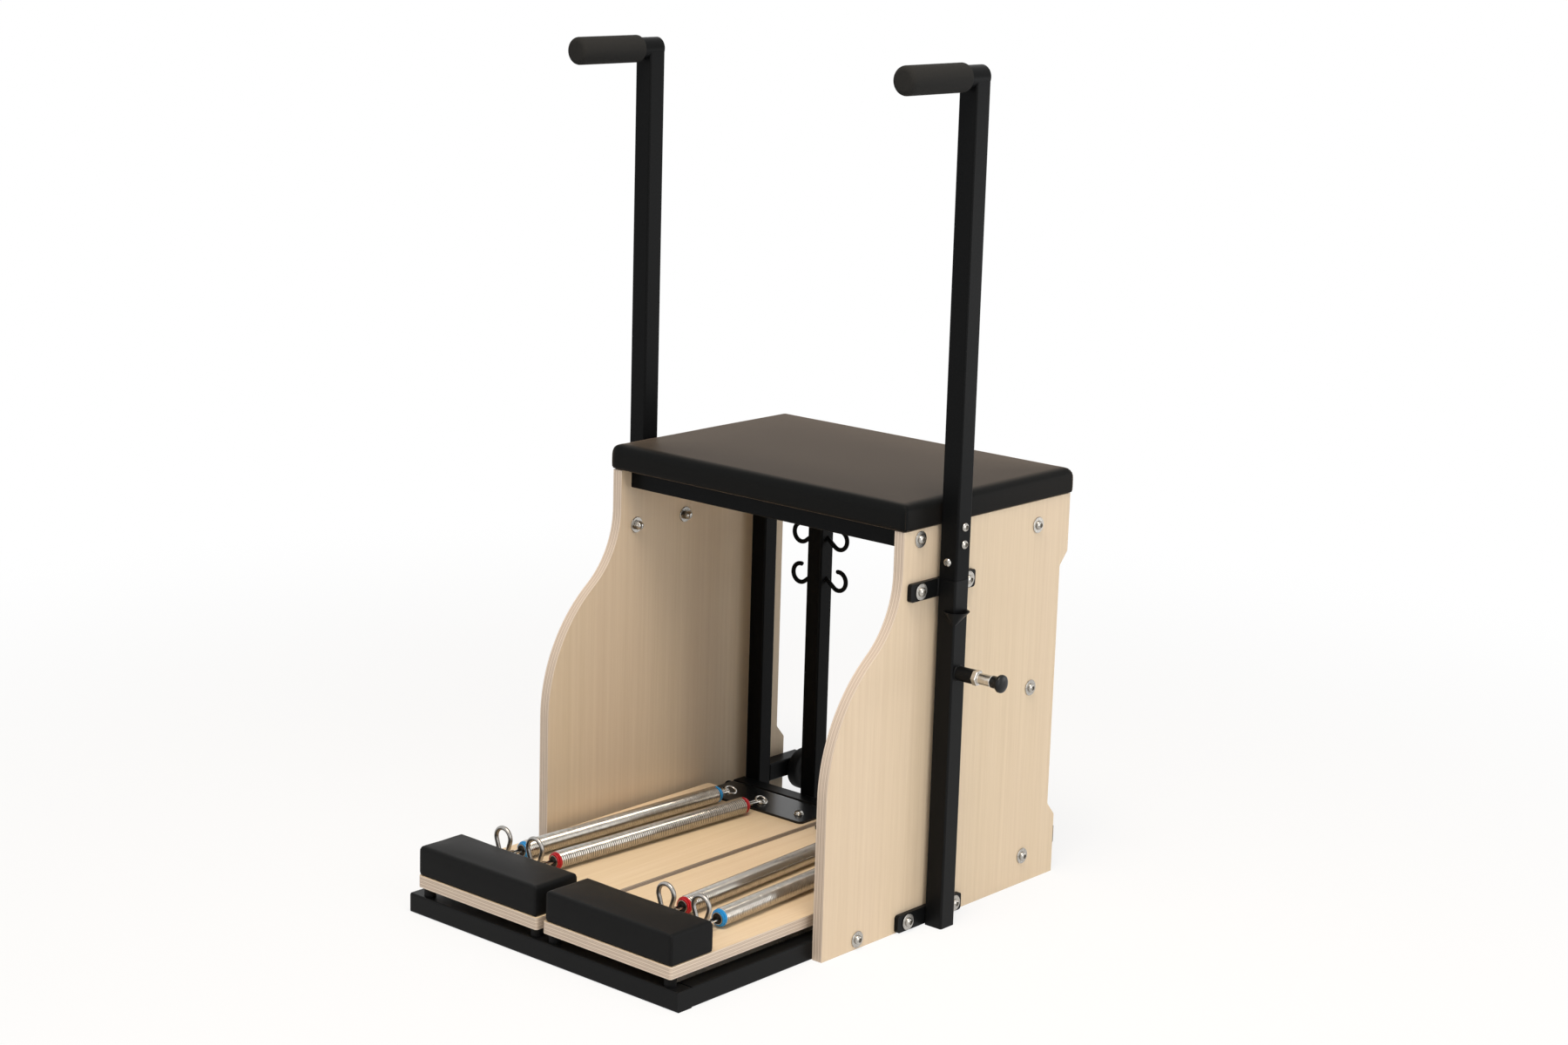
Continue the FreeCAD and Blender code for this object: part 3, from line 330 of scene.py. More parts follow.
def bright_metal(name, colours, rough, mark_mm):
    """A metal whose drawing marks vary its roughness by a share of it."""
    return grained(name, {"Metallic": 1.0, "Roughness": rough}, colours, mark_mm, 0.02, 0.06, rough * 0.3)


spring_steel = bright_metal("drawn_spring_steel", ("#B4AFA7", "#CAC6BF"), 0.18, 6.0)
stainless = bright_metal("polished_stainless_steel", ("#A6A29C", "#BBB8B2"), 0.24, 3.0)
zinc_plate = bright_metal("zinc_plated_steel", ("#989590", "#ABA8A4"), 0.34, 3.0)
chrome = bright_metal("bright_chrome", ("#C2BEB8", "#D2CFC9"), 0.22, 4.0)
print("four bright metals")

# %% [markdown]
# ## Upholstery vinyl
# The seat and the foot pads are covered in black vinyl, a plastic skin embossed with a fine leather grain.
# Its cells are flat-topped islands with creases between them, which a Voronoi pattern gives. The seat's
# skin is the duller one and greys when light skims it, which the sheen lobe does.

# %% Vinyl


def vinyl(name, colours, sockets, cell_mm, depth_mm):
    """Embossed skin: cells of a size in millimetres with creases of a depth between them."""
    made, tree, shader = new_finish(name, sockets)
    coords = add(tree, "TexCoord")
    cells = add(tree, "TexVoronoi", {"Scale": 1 / (cell_mm * MM)}, {"Vector": coords.outputs["Object"]},
                feature="DISTANCE_TO_EDGE")
    crease = add(tree, "MapRange", {"From Max": 0.12}, {"Value": cells.outputs["Distance"]})
    # The creases take the darker of the two colours: painted shade in the creases between the cells.
    tree.links.new(ramp(tree, crease.outputs[0], [(0.0, colours[0]), (1.0, colours[1])]),
                   shader.inputs["Base Color"])
    bump = add(tree, "Bump", {"Strength": 0.2, "Distance": depth_mm * MM}, {"Height": crease.outputs[0]})
    tree.links.new(bump.outputs["Normal"], shader.inputs["Normal"])
    return made


seat_vinyl = vinyl("embossed_seat_vinyl", ("#0D0F10", "#121415"),
                   {"Roughness": 0.46, "Specular IOR Level": 0.04, "Sheen Weight": 0.49,
                    "Sheen Roughness": 0.28, "Sheen Tint": linear("#FFDCB8")}, 1.8, 0.08)
pad_vinyl = vinyl("embossed_pad_vinyl", ("#151617", "#1B1C1D"),
                  {"Roughness": 0.40, "Specular IOR Level": 0.05, "Sheen Weight": 0.05,
                   "Sheen Roughness": 0.3, "Sheen Tint": linear("#FFE0C4")}, 1.8, 0.08)
print("two vinyls")

# %% [markdown]
# ## Finishes for the carried-over pieces
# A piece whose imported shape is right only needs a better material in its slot.

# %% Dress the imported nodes
DRESS = {"side_panel": panel_ply, "pedal_board": pedal_ply_painted_light, "seat_board": pedal_ply_painted_light,
         "hinge_plate": gloss_coat, "hinge_shaft": stainless, "wheel_axles": stainless,
         "base_bumpers": rubber, "base_": base_coat, "handle_sleeve": base_coat}
for name, node in nodes.items():
    finish = next((made for start, made in DRESS.items() if name.startswith(start)), powder_coat)
    node.data.materials.clear()
    node.data.materials.append(finish)
print("dressed", len(nodes), "nodes")

# %% [markdown]
# ## Tools for the new pieces
# Most of the small parts of the chair were turned on a lathe or bent from round wire. Turning is a half
# profile spun right round. Bending is a circle pushed along and swung round, run by run. Both end in
# the same place: a mesh at the origin that rides on its body.

# %% Modelling helpers
MERGE = 0.001 * MM
BEND_STEP, LEAST_STEPS, END_EASE = 10.0, 3, 0.15
SHARP_ANGLE = math.radians(35.0)
HEXAGON = 6


def standing(place, axis=(0, 0, 1)):
    """Matrix that turns Z to an axis and moves the origin to a place in millimetres."""
    return Matrix.Translation(Vector(place) * MM) @ Vector(axis).to_track_quat("Z", "Y").to_matrix().to_4x4()


def turned(bm, profile, place=Matrix.Identity(4), sides=28, closed=False):
    """Spin a profile of (radius, height) pairs in millimetres right round Z, then put it in place."""
    old = set(bm.verts)
    row = [bm.verts.new((radius * MM, 0.0, height * MM)) for radius, height in profile]
    edges = [bm.edges.new(pair) for pair in zip(row, row[1:])]
    if closed:
        edges.append(bm.edges.new((row[-1], row[0])))
    bmesh.ops.spin(bm, geom=row + edges, cent=(0, 0, 0), axis=(0, 0, 1), angle=2 * math.pi, steps=sides,
                   use_merge=True)
    new = [vert for vert in bm.verts if vert not in old]
    bmesh.ops.remove_doubles(bm, verts=new, dist=MERGE)
    bmesh.ops.transform(bm, matrix=place, verts=[vert for vert in new if vert.is_valid])


def round_section(middle, thick, points=12):
    """Profile of a ring: a circle of a given thickness whose middle runs at a given radius."""
    turns = [2 * math.pi * i / points for i in range(points)]
    return [(middle + thick / 2 * math.cos(a), thick / 2 * math.sin(a)) for a in turns]


def bent_rod(bm, start, heading, diameter, path, sides=12):
    """Push a circle along a path in millimetres: a number is a run, (radius, degrees, axis) a bend."""
    at, way = Vector(start) * MM, Vector(heading).normalized()
    ring = bmesh.ops.create_circle(bm, radius=diameter / 2 * MM, segments=sides)["verts"]
    bmesh.ops.transform(bm, matrix=standing(start, heading), verts=ring)
    first = last = ring + list(dict.fromkeys(edge for vert in ring for edge in vert.link_edges))
    for step in path:
        if isinstance(step, tuple):
            radius, degrees, axis = step[0] * MM, step[1], Vector(step[2])
            centre = at + axis.cross(way) * radius
            swing = Matrix.Rotation(math.radians(degrees), 3, axis)
            made = bmesh.ops.spin(bm, geom=last, cent=centre, axis=axis, angle=math.radians(degrees),
                                  steps=max(LEAST_STEPS, round(degrees / BEND_STEP)))
            at, way = centre + swing @ (at - centre), swing @ way
        else:
            made = bmesh.ops.spin(bm, geom=last, cent=at, axis=way, dvec=way * step * MM, angle=0.0, steps=1)
            at = at + way * step * MM
        last = made["geom_last"]
    for end in (first, last):
        loop = [edge for edge in end if isinstance(edge, bmesh.types.BMEdge)]
        bmesh.ops.holes_fill(bm, edges=loop)
        bmesh.ops.bevel(bm, geom=loop, offset=diameter * END_EASE * MM, segments=2, profile=0.5,
                        affect="EDGES", material=-1)


def finished(bm, name, body, finish, slot, *stands_for):
    """Close off a mesh, dress it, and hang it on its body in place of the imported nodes."""
    bmesh.ops.recalc_face_normals(bm, faces=bm.faces)
    mesh = bpy.data.meshes.new(name)
    bm.to_mesh(mesh)
    bm.free()
    mesh.shade_smooth()
    mesh.set_sharp_from_angle(angle=SHARP_ANGLE)
    mesh.materials.append(finish)
    made = bpy.data.objects.new(name, mesh)
    scene.collection.objects.link(made)
    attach(made, body)
    if stands_for:
        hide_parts(*stands_for)
    print(name, len(mesh.polygons), "faces")
    return made


def copies(bm, pattern, places):
    """Add a copy of a pattern mesh at each place."""
    for place in places:
        first = len(bm.verts)
        bm.from_mesh(pattern)
        bm.verts.ensure_lookup_table()
        bmesh.ops.transform(bm, matrix=place, verts=bm.verts[first:])


def pattern_of(bm, name):
    """Close off a mesh that is only there to be copied."""
    bmesh.ops.recalc_face_normals(bm, faces=bm.faces)
    mesh = bpy.data.meshes.new(name)
    bm.to_mesh(mesh)
    bm.free()
    return mesh


def placed(pattern, places, name, body, finish, slot, *stands_for):
    """Finish a piece that is made of copies of one pattern."""
    bm = bmesh.new()
    copies(bm, pattern, places)
    finished(bm, name, body, finish, slot, *stands_for)


print("tools to turn, bend, copy and finish a mesh")

# %% [markdown]
# ## Springs
# Each pedal pulls on two close-wound extension springs, blue on the outside and red on the inside. The red
# one is the stiffer, wound from thicker wire, and in both the turns almost touch. A curve with a bevel could
# follow the helix, but spin does it in one call: a ring of wire that steps forward by a pitch each turn.
# Spin slows down as its mesh grows, so a short run of turns is wound and then copied end to end.

# %% Spring coils
EYE_LINE = -321.0
EYE_PIVOT = 68.3
EYE_PLACES = {"blue": 203.0, "red": 134.5}
SPRING_LEAN = math.radians(3.1)
SPRING_AXIS = 8.0
COIL_START, COIL_ENDS = 44.0, {"blue": 445.0, "red": 435.0}
COIL_OUTSIDE = 28.0
WINDINGS = {"blue": (2.7, 130), "red": (3.35, 100)}
STEPS_A_TURN, RUN_TURNS, WIRE_SIDES = 18, 5, 8


def spring_frame(colour, side):
    """Place of a spring that is drawn along +Y with its eye bolt's pivot at the origin."""
    place = Vector((side * EYE_PLACES[colour], EYE_LINE, EYE_PIVOT)) * MM
    return Matrix.Translation(place) @ Matrix.Rotation(side * SPRING_LEAN, 4, "Z")


patterns = {}
for colour, (wire, turns) in WINDINGS.items():
    bm = bmesh.new()
    ring = bmesh.ops.create_circle(bm, radius=wire / 2 * MM, segments=WIRE_SIDES)["verts"]
    first = standing((0, COIL_START, SPRING_AXIS + (COIL_OUTSIDE - wire) / 2), (1, 0, 0))
    bmesh.ops.transform(bm, matrix=first, verts=ring)
    pitch = (COIL_ENDS[colour] - COIL_START) / turns
    bmesh.ops.spin(bm, geom=ring + bm.edges[:], cent=(0, COIL_START * MM, SPRING_AXIS * MM), axis=(0, 1, 0),
                   dvec=(0, pitch / STEPS_A_TURN * MM, 0), angle=2 * math.pi * RUN_TURNS,
                   steps=RUN_TURNS * STEPS_A_TURN)
    run = pattern_of(bm, colour + "_run_pattern")
    bm = bmesh.new()
    copies(bm, run, [Matrix.Translation((0, pitch * done * MM, 0)) for done in range(0, turns, RUN_TURNS)])
    bmesh.ops.remove_doubles(bm, verts=bm.verts, dist=MERGE)
    bmesh.ops.holes_fill(bm, edges=[edge for edge in bm.edges if edge.is_boundary])
    patterns["coil", colour] = pattern_of(bm, colour + "_coil_pattern")
    print("%s coil of %d turns, %.2f mm apart" % (colour, turns, pitch))

# %% [markdown]
# The ends of a spring are closed by moulded rings, a wide one against the last turn and a narrow one beyond
# it. A thin steel ferrule stands out of the narrow one. Its dark inside is painted shade, a black disc set a
# little way in, and a flat wire loop comes out of its middle. In front the loop carries a hook through the
# eye bolt. Behind, a ring hangs in it, tipped over.

# %% Spring end rings, ferrules and hooks
RING = [(9.0, 37.1), (9.4, 36.5), (10.6, 36.5), (11.3, 37.0), (11.6, 37.9), (11.3, 38.8), (10.9, 39.2),
        (12.2, 39.4), (13.0, 40.0), (13.3, 41.0), (13.3, 42.5), (12.8, 43.5), (9.0, 43.5)]
FERRULE = [(8.3, 35.9), (8.5, 35.7), (8.8, 35.7), (9.0, 35.9), (9.0, 42.0), (8.3, 42.0)]
# The hollow is a black disc a little way inside each ferrule: painted shade for the dark inside of the
# ferrule.
HOLLOW_SHADE = [(0, 37.4), (8.0, 37.6), (8.3, 38.0), (8.3, 43.0), (0, 43.0)]
HOOK_WIRE, LINK_BEND = 3.4, 3.6
LOOP_ROOT, NEAR_LOOP, FAR_LOOPS = 42.0, 25.0, {"blue": 28.0, "red": 36.0}
HOOK_TAIL, HOOK_BEND = 7.0, 8.0
LINK_RING, RING_TILT = 9.0, math.radians(65.0)
along = standing((0, 0, SPRING_AXIS), (0, 1, 0))


def wire_loop(bm, length):
    """Flat U of wire that comes out of a ferrule towards the eye bolt."""
    bent_rod(bm, (LINK_BEND, LOOP_ROOT, SPRING_AXIS), (0, -1, 0), HOOK_WIRE,
             [length - LINK_BEND, (LINK_BEND, 180, (0, 0, -1)), length - LINK_BEND])


for colour, far_loop in FAR_LOOPS.items():
    whole = COIL_START + COIL_ENDS[colour]
    other_end = Matrix.Translation((0, whole * MM, 0)) @ Matrix.Rotation(math.pi, 4, "Z")
    ends = (along, other_end @ along)
    for part, profile in (("caps", RING), ("hollows", HOLLOW_SHADE)):
        bm = bmesh.new()
        for end in ends:
            turned(bm, profile, end, closed=part == "caps")
        patterns[part, colour] = pattern_of(bm, "%s_%s_pattern" % (colour, part))
    bm = bmesh.new()
    wire_loop(bm, far_loop)
    far_pattern = pattern_of(bm, colour + "_far_loop_pattern")
    bm = bmesh.new()
    copies(bm, far_pattern, [other_end])
    wire_loop(bm, NEAR_LOOP)
    near_tip, far_tip = LOOP_ROOT - NEAR_LOOP, whole - LOOP_ROOT + far_loop
    bent_rod(bm, (0, near_tip - HOOK_TAIL, SPRING_AXIS - LINK_BEND), (0, 1, 0), HOOK_WIRE,
             [HOOK_TAIL, (LINK_BEND, 180, (1, 0, 0)), near_tip, (HOOK_BEND, 85, (1, 0, 0))])
    ring_middle = (0, far_tip + LINK_RING - LINK_BEND, SPRING_AXIS)
    turned(bm, round_section(LINK_RING, HOOK_WIRE),
           standing(ring_middle, (math.cos(RING_TILT), 0, math.sin(RING_TILT))), closed=True)
    for end in ends:
        turned(bm, FERRULE, end, closed=True)
    patterns["ends", colour] = pattern_of(bm, colour + "_ends_pattern")

for word, side in SIDES.items():
    for colour, plastic in (("blue", blue_plastic), ("red", red_plastic)):
        body = "spring_%s_%s" % (colour, word)
        place = spring_frame(colour, side)
        # The hollows take the black nylon finish as painted shade inside the ferrules; the knobs wear it as
        # real nylon.
        for part, finish, slot in (("coil", spring_steel, "spring_steel"),
                                   ("caps", plastic, colour + "_plastic"),
                                   ("ends", spring_steel, "spring_steel"),
                                   ("hollows", black_nylon_and_painted_shade, "black_plastic")):
            node = "spring_%s_%s_%s" % (part, colour, word)
            placed(patterns[part, colour], [place], node + "_dressed", body, finish, slot,
                   *([node] if node in nodes else []))

# %% [markdown]
# ## Eye bolts and post hooks
# An eye bolt is 7 mm rod that rises through the pedal, leans out, loops over and comes back to its own
# root, with a nut and washer under the board. The posts carry open hooks of black rod where the springs
# are hung for use. Both are bent rods: the eye is drawn once and copied, and a loop bends the hooks.

# %% Eye bolts
EYE_ROD, EYE_LOOP, EYE_FLARE, EYE_BEND = 7.0, 15.2, 19.3, 10.0
EYE_FOOT, EYE_APEX, EYE_GAP = 35.0, 59.0, 0.5
EYE_WASHER = [(3.3, 42.0), (7.6, 42.0), (8.0, 42.4), (8.0, 43.1), (7.6, 43.5), (3.3, 43.5)]
EYE_NUT = [(3.3, 37.0), (5.0, 37.0), (5.77, 37.6), (5.77, 41.4), (5.0, 42.0), (3.3, 42.0)]
ROD_SIDES = 14
flare = math.radians(EYE_FLARE)
leg = EYE_LOOP / math.tan(flare)
lean = EYE_BEND * math.tan(flare / 2)
tail = (EYE_ROD + EYE_GAP) / math.sin(2 * flare)
bm = bmesh.new()
bent_rod(bm, (0, 0, EYE_FOOT), (0, 0, 1), EYE_ROD,
         [EYE_APEX - lean - EYE_FOOT, (EYE_BEND, EYE_FLARE, (0, -1, 0)), leg - lean,
          (EYE_LOOP, 180 + 2 * EYE_FLARE, (0, 1, 0)), leg - tail], sides=ROD_SIDES)
turned(bm, EYE_WASHER, closed=True)
turned(bm, EYE_NUT, sides=HEXAGON, closed=True)
eye_pattern = pattern_of(bm, "eye_pattern")
for word, side in SIDES.items():
    places = [Matrix.Translation(Vector((side * x, EYE_LINE, 0)) * MM) for x in EYE_PLACES.values()]
    placed(eye_pattern, places, "eye_bolts_%s_dressed" % word, "pedal_" + word, zinc_plate, "stainless_steel",
           "eye_bolts_" + word)

# %% Post hooks
HOOK_ROD = 7.4
POST_X, POST_LINE = 138.0, 318.0
HOOK_HEIGHTS = (413.0, 481.0)
HOOK_REACH, HOOK_LOOP, HOOK_ROOT = 40.5, 15.5, 13.0
HOOK_SWEEP = 231.0
DROOP = math.radians(37.0)
touch_x = HOOK_REACH - math.sin(DROOP) * HOOK_LOOP
straight = (touch_x - HOOK_ROOT) / math.cos(DROOP)
rise = straight * math.sin(DROOP) - math.cos(DROOP) * HOOK_LOOP
for word, side in SIDES.items():
    bm = bmesh.new()
    for height in HOOK_HEIGHTS:
        for out in (-1, 1):
            start = (side * POST_X + out * HOOK_ROOT, POST_LINE, height + rise)
            bent_rod(bm, start, (out * math.cos(DROOP), 0, -math.sin(DROOP)), HOOK_ROD,
                     [straight, (HOOK_LOOP, HOOK_SWEEP, (0, -out, 0))], sides=ROD_SIDES)
    finished(bm, "spring_hooks_%s_dressed" % word, "frame", powder_coat, "black_powder_coat",
             "spring_hooks_" + word)

# %% [markdown]
# ## Fasteners
# The chair is held by button-head socket screws on plain washers. A button head is a low dome with a
# hexagon pit. The dome is turned, the pit is a six-sided turning, and bridging the two open rims joins a
# round edge to a hexagonal one without working out a single face.

# %% Screw, washer and cap nut
BOLT_HEAD, HANDLE_HEAD = (14.0, 4.5), (13.5, 4.2)
WIDE_WASHER, SMALL_WASHER, WASHER_BORE = (25.0, 2.0), (16.0, 1.5), 9.0
CAP_NUT = [(0, 2.0), (6.9, 2.0), (7.5, 2.6), (7.5, 7.9), (6.6, 8.5), (0, 8.5)]
CAP_DOME = [(0, 8.3), (6.2, 8.3), (6.2, 9.4), (5.5, 11.4), (4.0, 12.8), (2.0, 13.4), (0, 13.5)]
HEAD_SIDES, WASHER_SIDES = 24, 32
# Shares of a head's diameter, radius and rise, and of a washer's thickness.
SOCKET_RADIUS, UNDERSIDE, SKIRT, WASHER_EASE = 0.30, 0.97, 0.12, 0.25
SOCKET_FLOOR, SOCKET_WALL, SOCKET_LIP = 0.88, 0.85, 0.03
# Angles in radians at which the dome has points.
DOME_ANGLES = (0.0, 0.2, 0.4, 0.6, 0.8, 0.95, 1.05)


def button_head(bm, diameter, rise, seat=0.0):
    """A dome with a hexagon socket, standing on its seat height."""
    old = set(bm.edges)
    radius, key, top = diameter / 2, diameter * SOCKET_RADIUS, seat + rise
    full = math.sin(DOME_ANGLES[-1])
    dome = [(radius * math.cos(a), seat + rise * (SKIRT + (1 - SKIRT) * math.sin(a) / full))
            for a in DOME_ANGLES]
    socket = [(0, top - rise * SOCKET_FLOOR), (key, top - rise * SOCKET_WALL), (key, top - rise * SOCKET_LIP)]
    turned(bm, [(0, seat), (radius * UNDERSIDE, seat)] + dome, sides=HEAD_SIDES)
    turned(bm, socket, sides=HEXAGON)
    rims = [edge for edge in bm.edges if edge not in old and edge.is_boundary]
    bmesh.ops.bridge_loops(bm, edges=rims)


def plain_washer(bm, diameter, thick):
    """A flat ring with eased outer rims."""
    bore, outer, ease = WASHER_BORE / 2, diameter / 2, thick * WASHER_EASE
    turned(bm, [(bore, 0), (outer - ease, 0), (outer, ease), (outer, thick - ease), (outer - ease, thick),
                (bore, thick)], closed=True, sides=WASHER_SIDES)


def screw_on_washer(name, head, washer):
    """Pattern of a button-head screw that sits on a washer."""
    bm = bmesh.new()
    plain_washer(bm, *washer)
    button_head(bm, *head, seat=washer[1])
    return pattern_of(bm, name)


bolt_pattern = screw_on_washer("bolt_pattern", BOLT_HEAD, WIDE_WASHER)
plate_bolt_pattern = screw_on_washer("plate_bolt_pattern", BOLT_HEAD, SMALL_WASHER)

bm = bmesh.new()
button_head(bm, *HANDLE_HEAD)
screw_pattern = pattern_of(bm, "screw_pattern")

bm = bmesh.new()
plain_washer(bm, *WIDE_WASHER)
turned(bm, CAP_NUT, sides=HEXAGON)
turned(bm, CAP_DOME, sides=HEAD_SIDES)
nut_pattern = pattern_of(bm, "nut_pattern")
print("a bolt has", len(bolt_pattern.polygons), "faces and a cap nut", len(nut_pattern.polygons))

# %% Panel bolts, bracket bolts and cap nuts
PANEL_OUTER = PANEL_INNER + BOARD_THICK
BRACKET_FACE = 299.5
PANEL_BOLTS = [(31.0, 598.0), (-81.0, 15.0), (318.0, 45.0), (318.0, 318.0), (318.0, 575.0)]
BRACKET_LINES = (28.4, 140.4)
BRACKET_LOW, BRACKET_HIGH = 15.0, 521.5
places = [standing((side * PANEL_OUTER, y, z), (side, 0, 0))
          for side in SIDES.values() for y, z in PANEL_BOLTS]
placed(bolt_pattern, places, "panel_bolts_dressed", "frame", stainless, "stainless_steel", "panel_bolts")
bm = bmesh.new()
for side in SIDES.values():
    copies(bm, bolt_pattern, [standing((side * BRACKET_FACE, y, z), (side, 0, 0))
                              for y in BRACKET_LINES for z in (BRACKET_LOW, BRACKET_HIGH)])
    copies(bm, nut_pattern, [standing((side * PANEL_INNER, y, BRACKET_HIGH), (-side, 0, 0))
                             for y in BRACKET_LINES])
finished(bm, "bracket_fasteners_dressed", "frame", stainless, "stainless_steel", "bracket_fasteners")

# %% Hinge plate bolts and handle screws
PLATE_BOLTS, PLATE_LINE, PLATE_TOP = (41.0, 121.0, 201.0), 171.0, 65.5
SLEEVE_X, SLEEVE_LINE, SLEEVE_TUBE = 315.5, 84.4, 32.0
SIDE_SCREWS, FRONT_SCREW = (588.5, 614.5), 561.5
sleeve_face = SLEEVE_X + SLEEVE_TUBE / 2
for word, side in SIDES.items():
    places = [standing((side * x, PLATE_LINE, PLATE_TOP)) for x in PLATE_BOLTS]
    placed(plate_bolt_pattern, places, "plate_bolts_%s_dressed" % word, "pedal_" + word, stainless,
           "stainless_steel", "plate_bolts_" + word)
    places = [standing((side * sleeve_face, SLEEVE_LINE, z), (side, 0, 0)) for z in SIDE_SCREWS]
    places.append(standing((side * SLEEVE_X, SLEEVE_LINE - SLEEVE_TUBE / 2, FRONT_SCREW), (0, -1, 0)))
    placed(screw_pattern, places, "handle_screws_%s_dressed" % word, "handle_" + word, stainless,
           "stainless_steel", "handle_screws_" + word)

# %% [markdown]
# ## Grips, plungers and wheels
# These are all turnings: a foam sleeve with a rounded closed end, a mushroom knob, a hexagon and barrel of
# chrome, and a dished rubber wheel.

# %% Foam grips
GRIP_FRONT, GRIP_HEIGHT, GRIP_LENGTH, GRIP_RADIUS = -77.6, 1260.0, 133.0, 21.0
GRIP_ROUND, GRIP_BACK, GRIP_BORE, GRIP_CAP = 8.0, 3.0, 17.2, 8.0
NOSE_STEPS, BACK_STEPS, GRIP_SIDES = 7, 4, 40
quarter = math.pi / 2
nose = [(GRIP_RADIUS - GRIP_ROUND * (1 - math.sin(a)), GRIP_ROUND * (1 - math.cos(a)))
        for a in [quarter * i / NOSE_STEPS for i in range(NOSE_STEPS + 1)]]
back = [(GRIP_RADIUS - GRIP_BACK * (1 - math.cos(a)), GRIP_LENGTH - GRIP_BACK * (1 - math.sin(a)))
        for a in [quarter * i / BACK_STEPS for i in range(BACK_STEPS + 1)]]
bore = [(GRIP_BORE, GRIP_LENGTH), (GRIP_BORE, GRIP_CAP), (0, GRIP_CAP)]
for word, side in SIDES.items():
    bm = bmesh.new()
    place = standing((side * SLEEVE_X, GRIP_FRONT, GRIP_HEIGHT), (0, 1, 0))
    turned(bm, [(0, 0)] + nose + back + bore, place, sides=GRIP_SIDES)
    finished(bm, "handle_grip_%s_dressed" % word, "handle_" + word, grip_foam, "foam_rubber",
             "handle_grip_" + word)

# %% Plungers
PLUNGER_HEIGHT = 395.0
PIN_START, PIN_LENGTH = 324.7, 69.2
HEX_START, BARREL_START, BARREL_END, KNOB_START = 361.5, 370.0, 393.5, 393.9
HEX_FLATS, BARREL_BORE = 21.0, 4.3
KNOB_SIDES, PIN_SIDES = 36, 20
KNOB = [(0, 0), (8.4, 0), (9.2, 0.8), (9.2, 7.6), (9.6, 9.8), (10.8, 11.8), (12.9, 13.0), (13.5, 14.0),
        (13.5, 17.2), (12.9, 18.6), (11.2, 19.7), (7.5, 20.6), (3.5, 20.95), (0, 21.0)]
PIN = [(0, 0), (3.4, 0), (4.0, 1.2), (4.0, PIN_LENGTH), (0, PIN_LENGTH)]
point = HEX_FLATS / math.sqrt(3)
hexagon = [(BARREL_BORE, 0), (10.8, 0), (point, 0.9), (point, 7.6), (10.8, 8.5), (BARREL_BORE, 8.5)]
length = BARREL_END - BARREL_START
barrel = [(BARREL_BORE, 0), (8.5, 0), (8.5, 1.4), (8.0, 1.9), (8.0, 3.0), (8.5, 3.5), (8.5, length - 0.9),
          (7.6, length), (BARREL_BORE, length)]


def on_plunger(side, start):
    """Place on a plunger's axis, facing outwards."""
    return standing((side * start, SLEEVE_LINE, PLUNGER_HEIGHT), (side, 0, 0))


for word, side in SIDES.items():
    bm = bmesh.new()
    turned(bm, hexagon, on_plunger(side, HEX_START), sides=HEXAGON, closed=True)
    turned(bm, barrel, on_plunger(side, BARREL_START), closed=True)
    finished(bm, "plunger_body_%s_dressed" % word, "frame", chrome, "bright_chrome", "plunger_body_" + word)
    bm = bmesh.new()
    turned(bm, KNOB, on_plunger(side, KNOB_START), sides=KNOB_SIDES)
    turned(bm, PIN, on_plunger(side, PIN_START), sides=PIN_SIDES)
    finished(bm, "plunger_%s_dressed" % word, "pin_" + word, black_nylon_and_painted_shade, "black_plastic", "plunger_" + word)

# %% [markdown]
# A weld leaves a bead in the corner where two pieces meet. Round the root of the plunger's boss it is a ring,
# and where the upper bracket meets the sleeve it is a short rod on each side, half sunk in the steel.

# %% Weld beads
BOSS_RADIUS, WELD = 11.0, 3.4
BRACKET_FOOT, BRACKET_TALL = 508.0, 27.0
bm = bmesh.new()
for side in SIDES.values():
    turned(bm, round_section(BOSS_RADIUS, WELD), on_plunger(side, sleeve_face), closed=True)
    for end in (-1, 1):
        start = (side * BRACKET_FACE, SLEEVE_LINE + end * SLEEVE_TUBE / 2, BRACKET_FOOT)
        bent_rod(bm, start, (0, 0, 1), WELD, [BRACKET_TALL])
finished(bm, "weld_beads_dressed", "frame", base_coat, "black_powder_coat")

# %% Wheels
WHEEL_LINE, WHEEL_HEIGHT, WHEEL_MIDDLE = 408.0, 45.0, 233.9
WHEEL_SIDES = 48
half_wheel = [(5.3, 9.4), (10.4, 9.4), (11.0, 8.8), (11.0, 6.2), (12.0, 5.2), (23.6, 4.6), (25.2, 5.6),
              (26.0, 9.0), (26.8, 10.0), (31.4, 10.0), (33.6, 9.0), (34.6, 7.0), (35.0, 3.0)]
wheel_profile = half_wheel + [(radius, -height) for radius, height in reversed(half_wheel)]
for word, side in SIDES.items():
    bm = bmesh.new()
    place = standing((side * WHEEL_MIDDLE, WHEEL_LINE, WHEEL_HEIGHT), (side, 0, 0))
    turned(bm, wheel_profile, place, sides=WHEEL_SIDES, closed=True)
    finished(bm, "wheel_%s_dressed" % word, "roller_" + word, rubber, "black_rubber", "wheel_" + word)

# %% [markdown]
# ## Cushions
# The seat and the foot pads are foam blocks under tight vinyl. A block with rounded edges would look like
# moulded plastic. So each block is remeshed evenly and inflated as cloth with its underside held, which
# crowns the top and leaves the sewn corners low. The swelling is evened out, scaled down to a cap and added
# to the block, and one subdivision smooths it.

# %% Upholstery by cloth simulation
PRESSURE, FRAMES = 4.0, 20
EVENINGS, EVENING_SHARE = 30, 0.5
HELD_BAND = 4.0
CORNER_STEPS, RIM_STEPS, LOWER_RIM = 5, 6, 0.3
LEVEL = 0.01 * MM


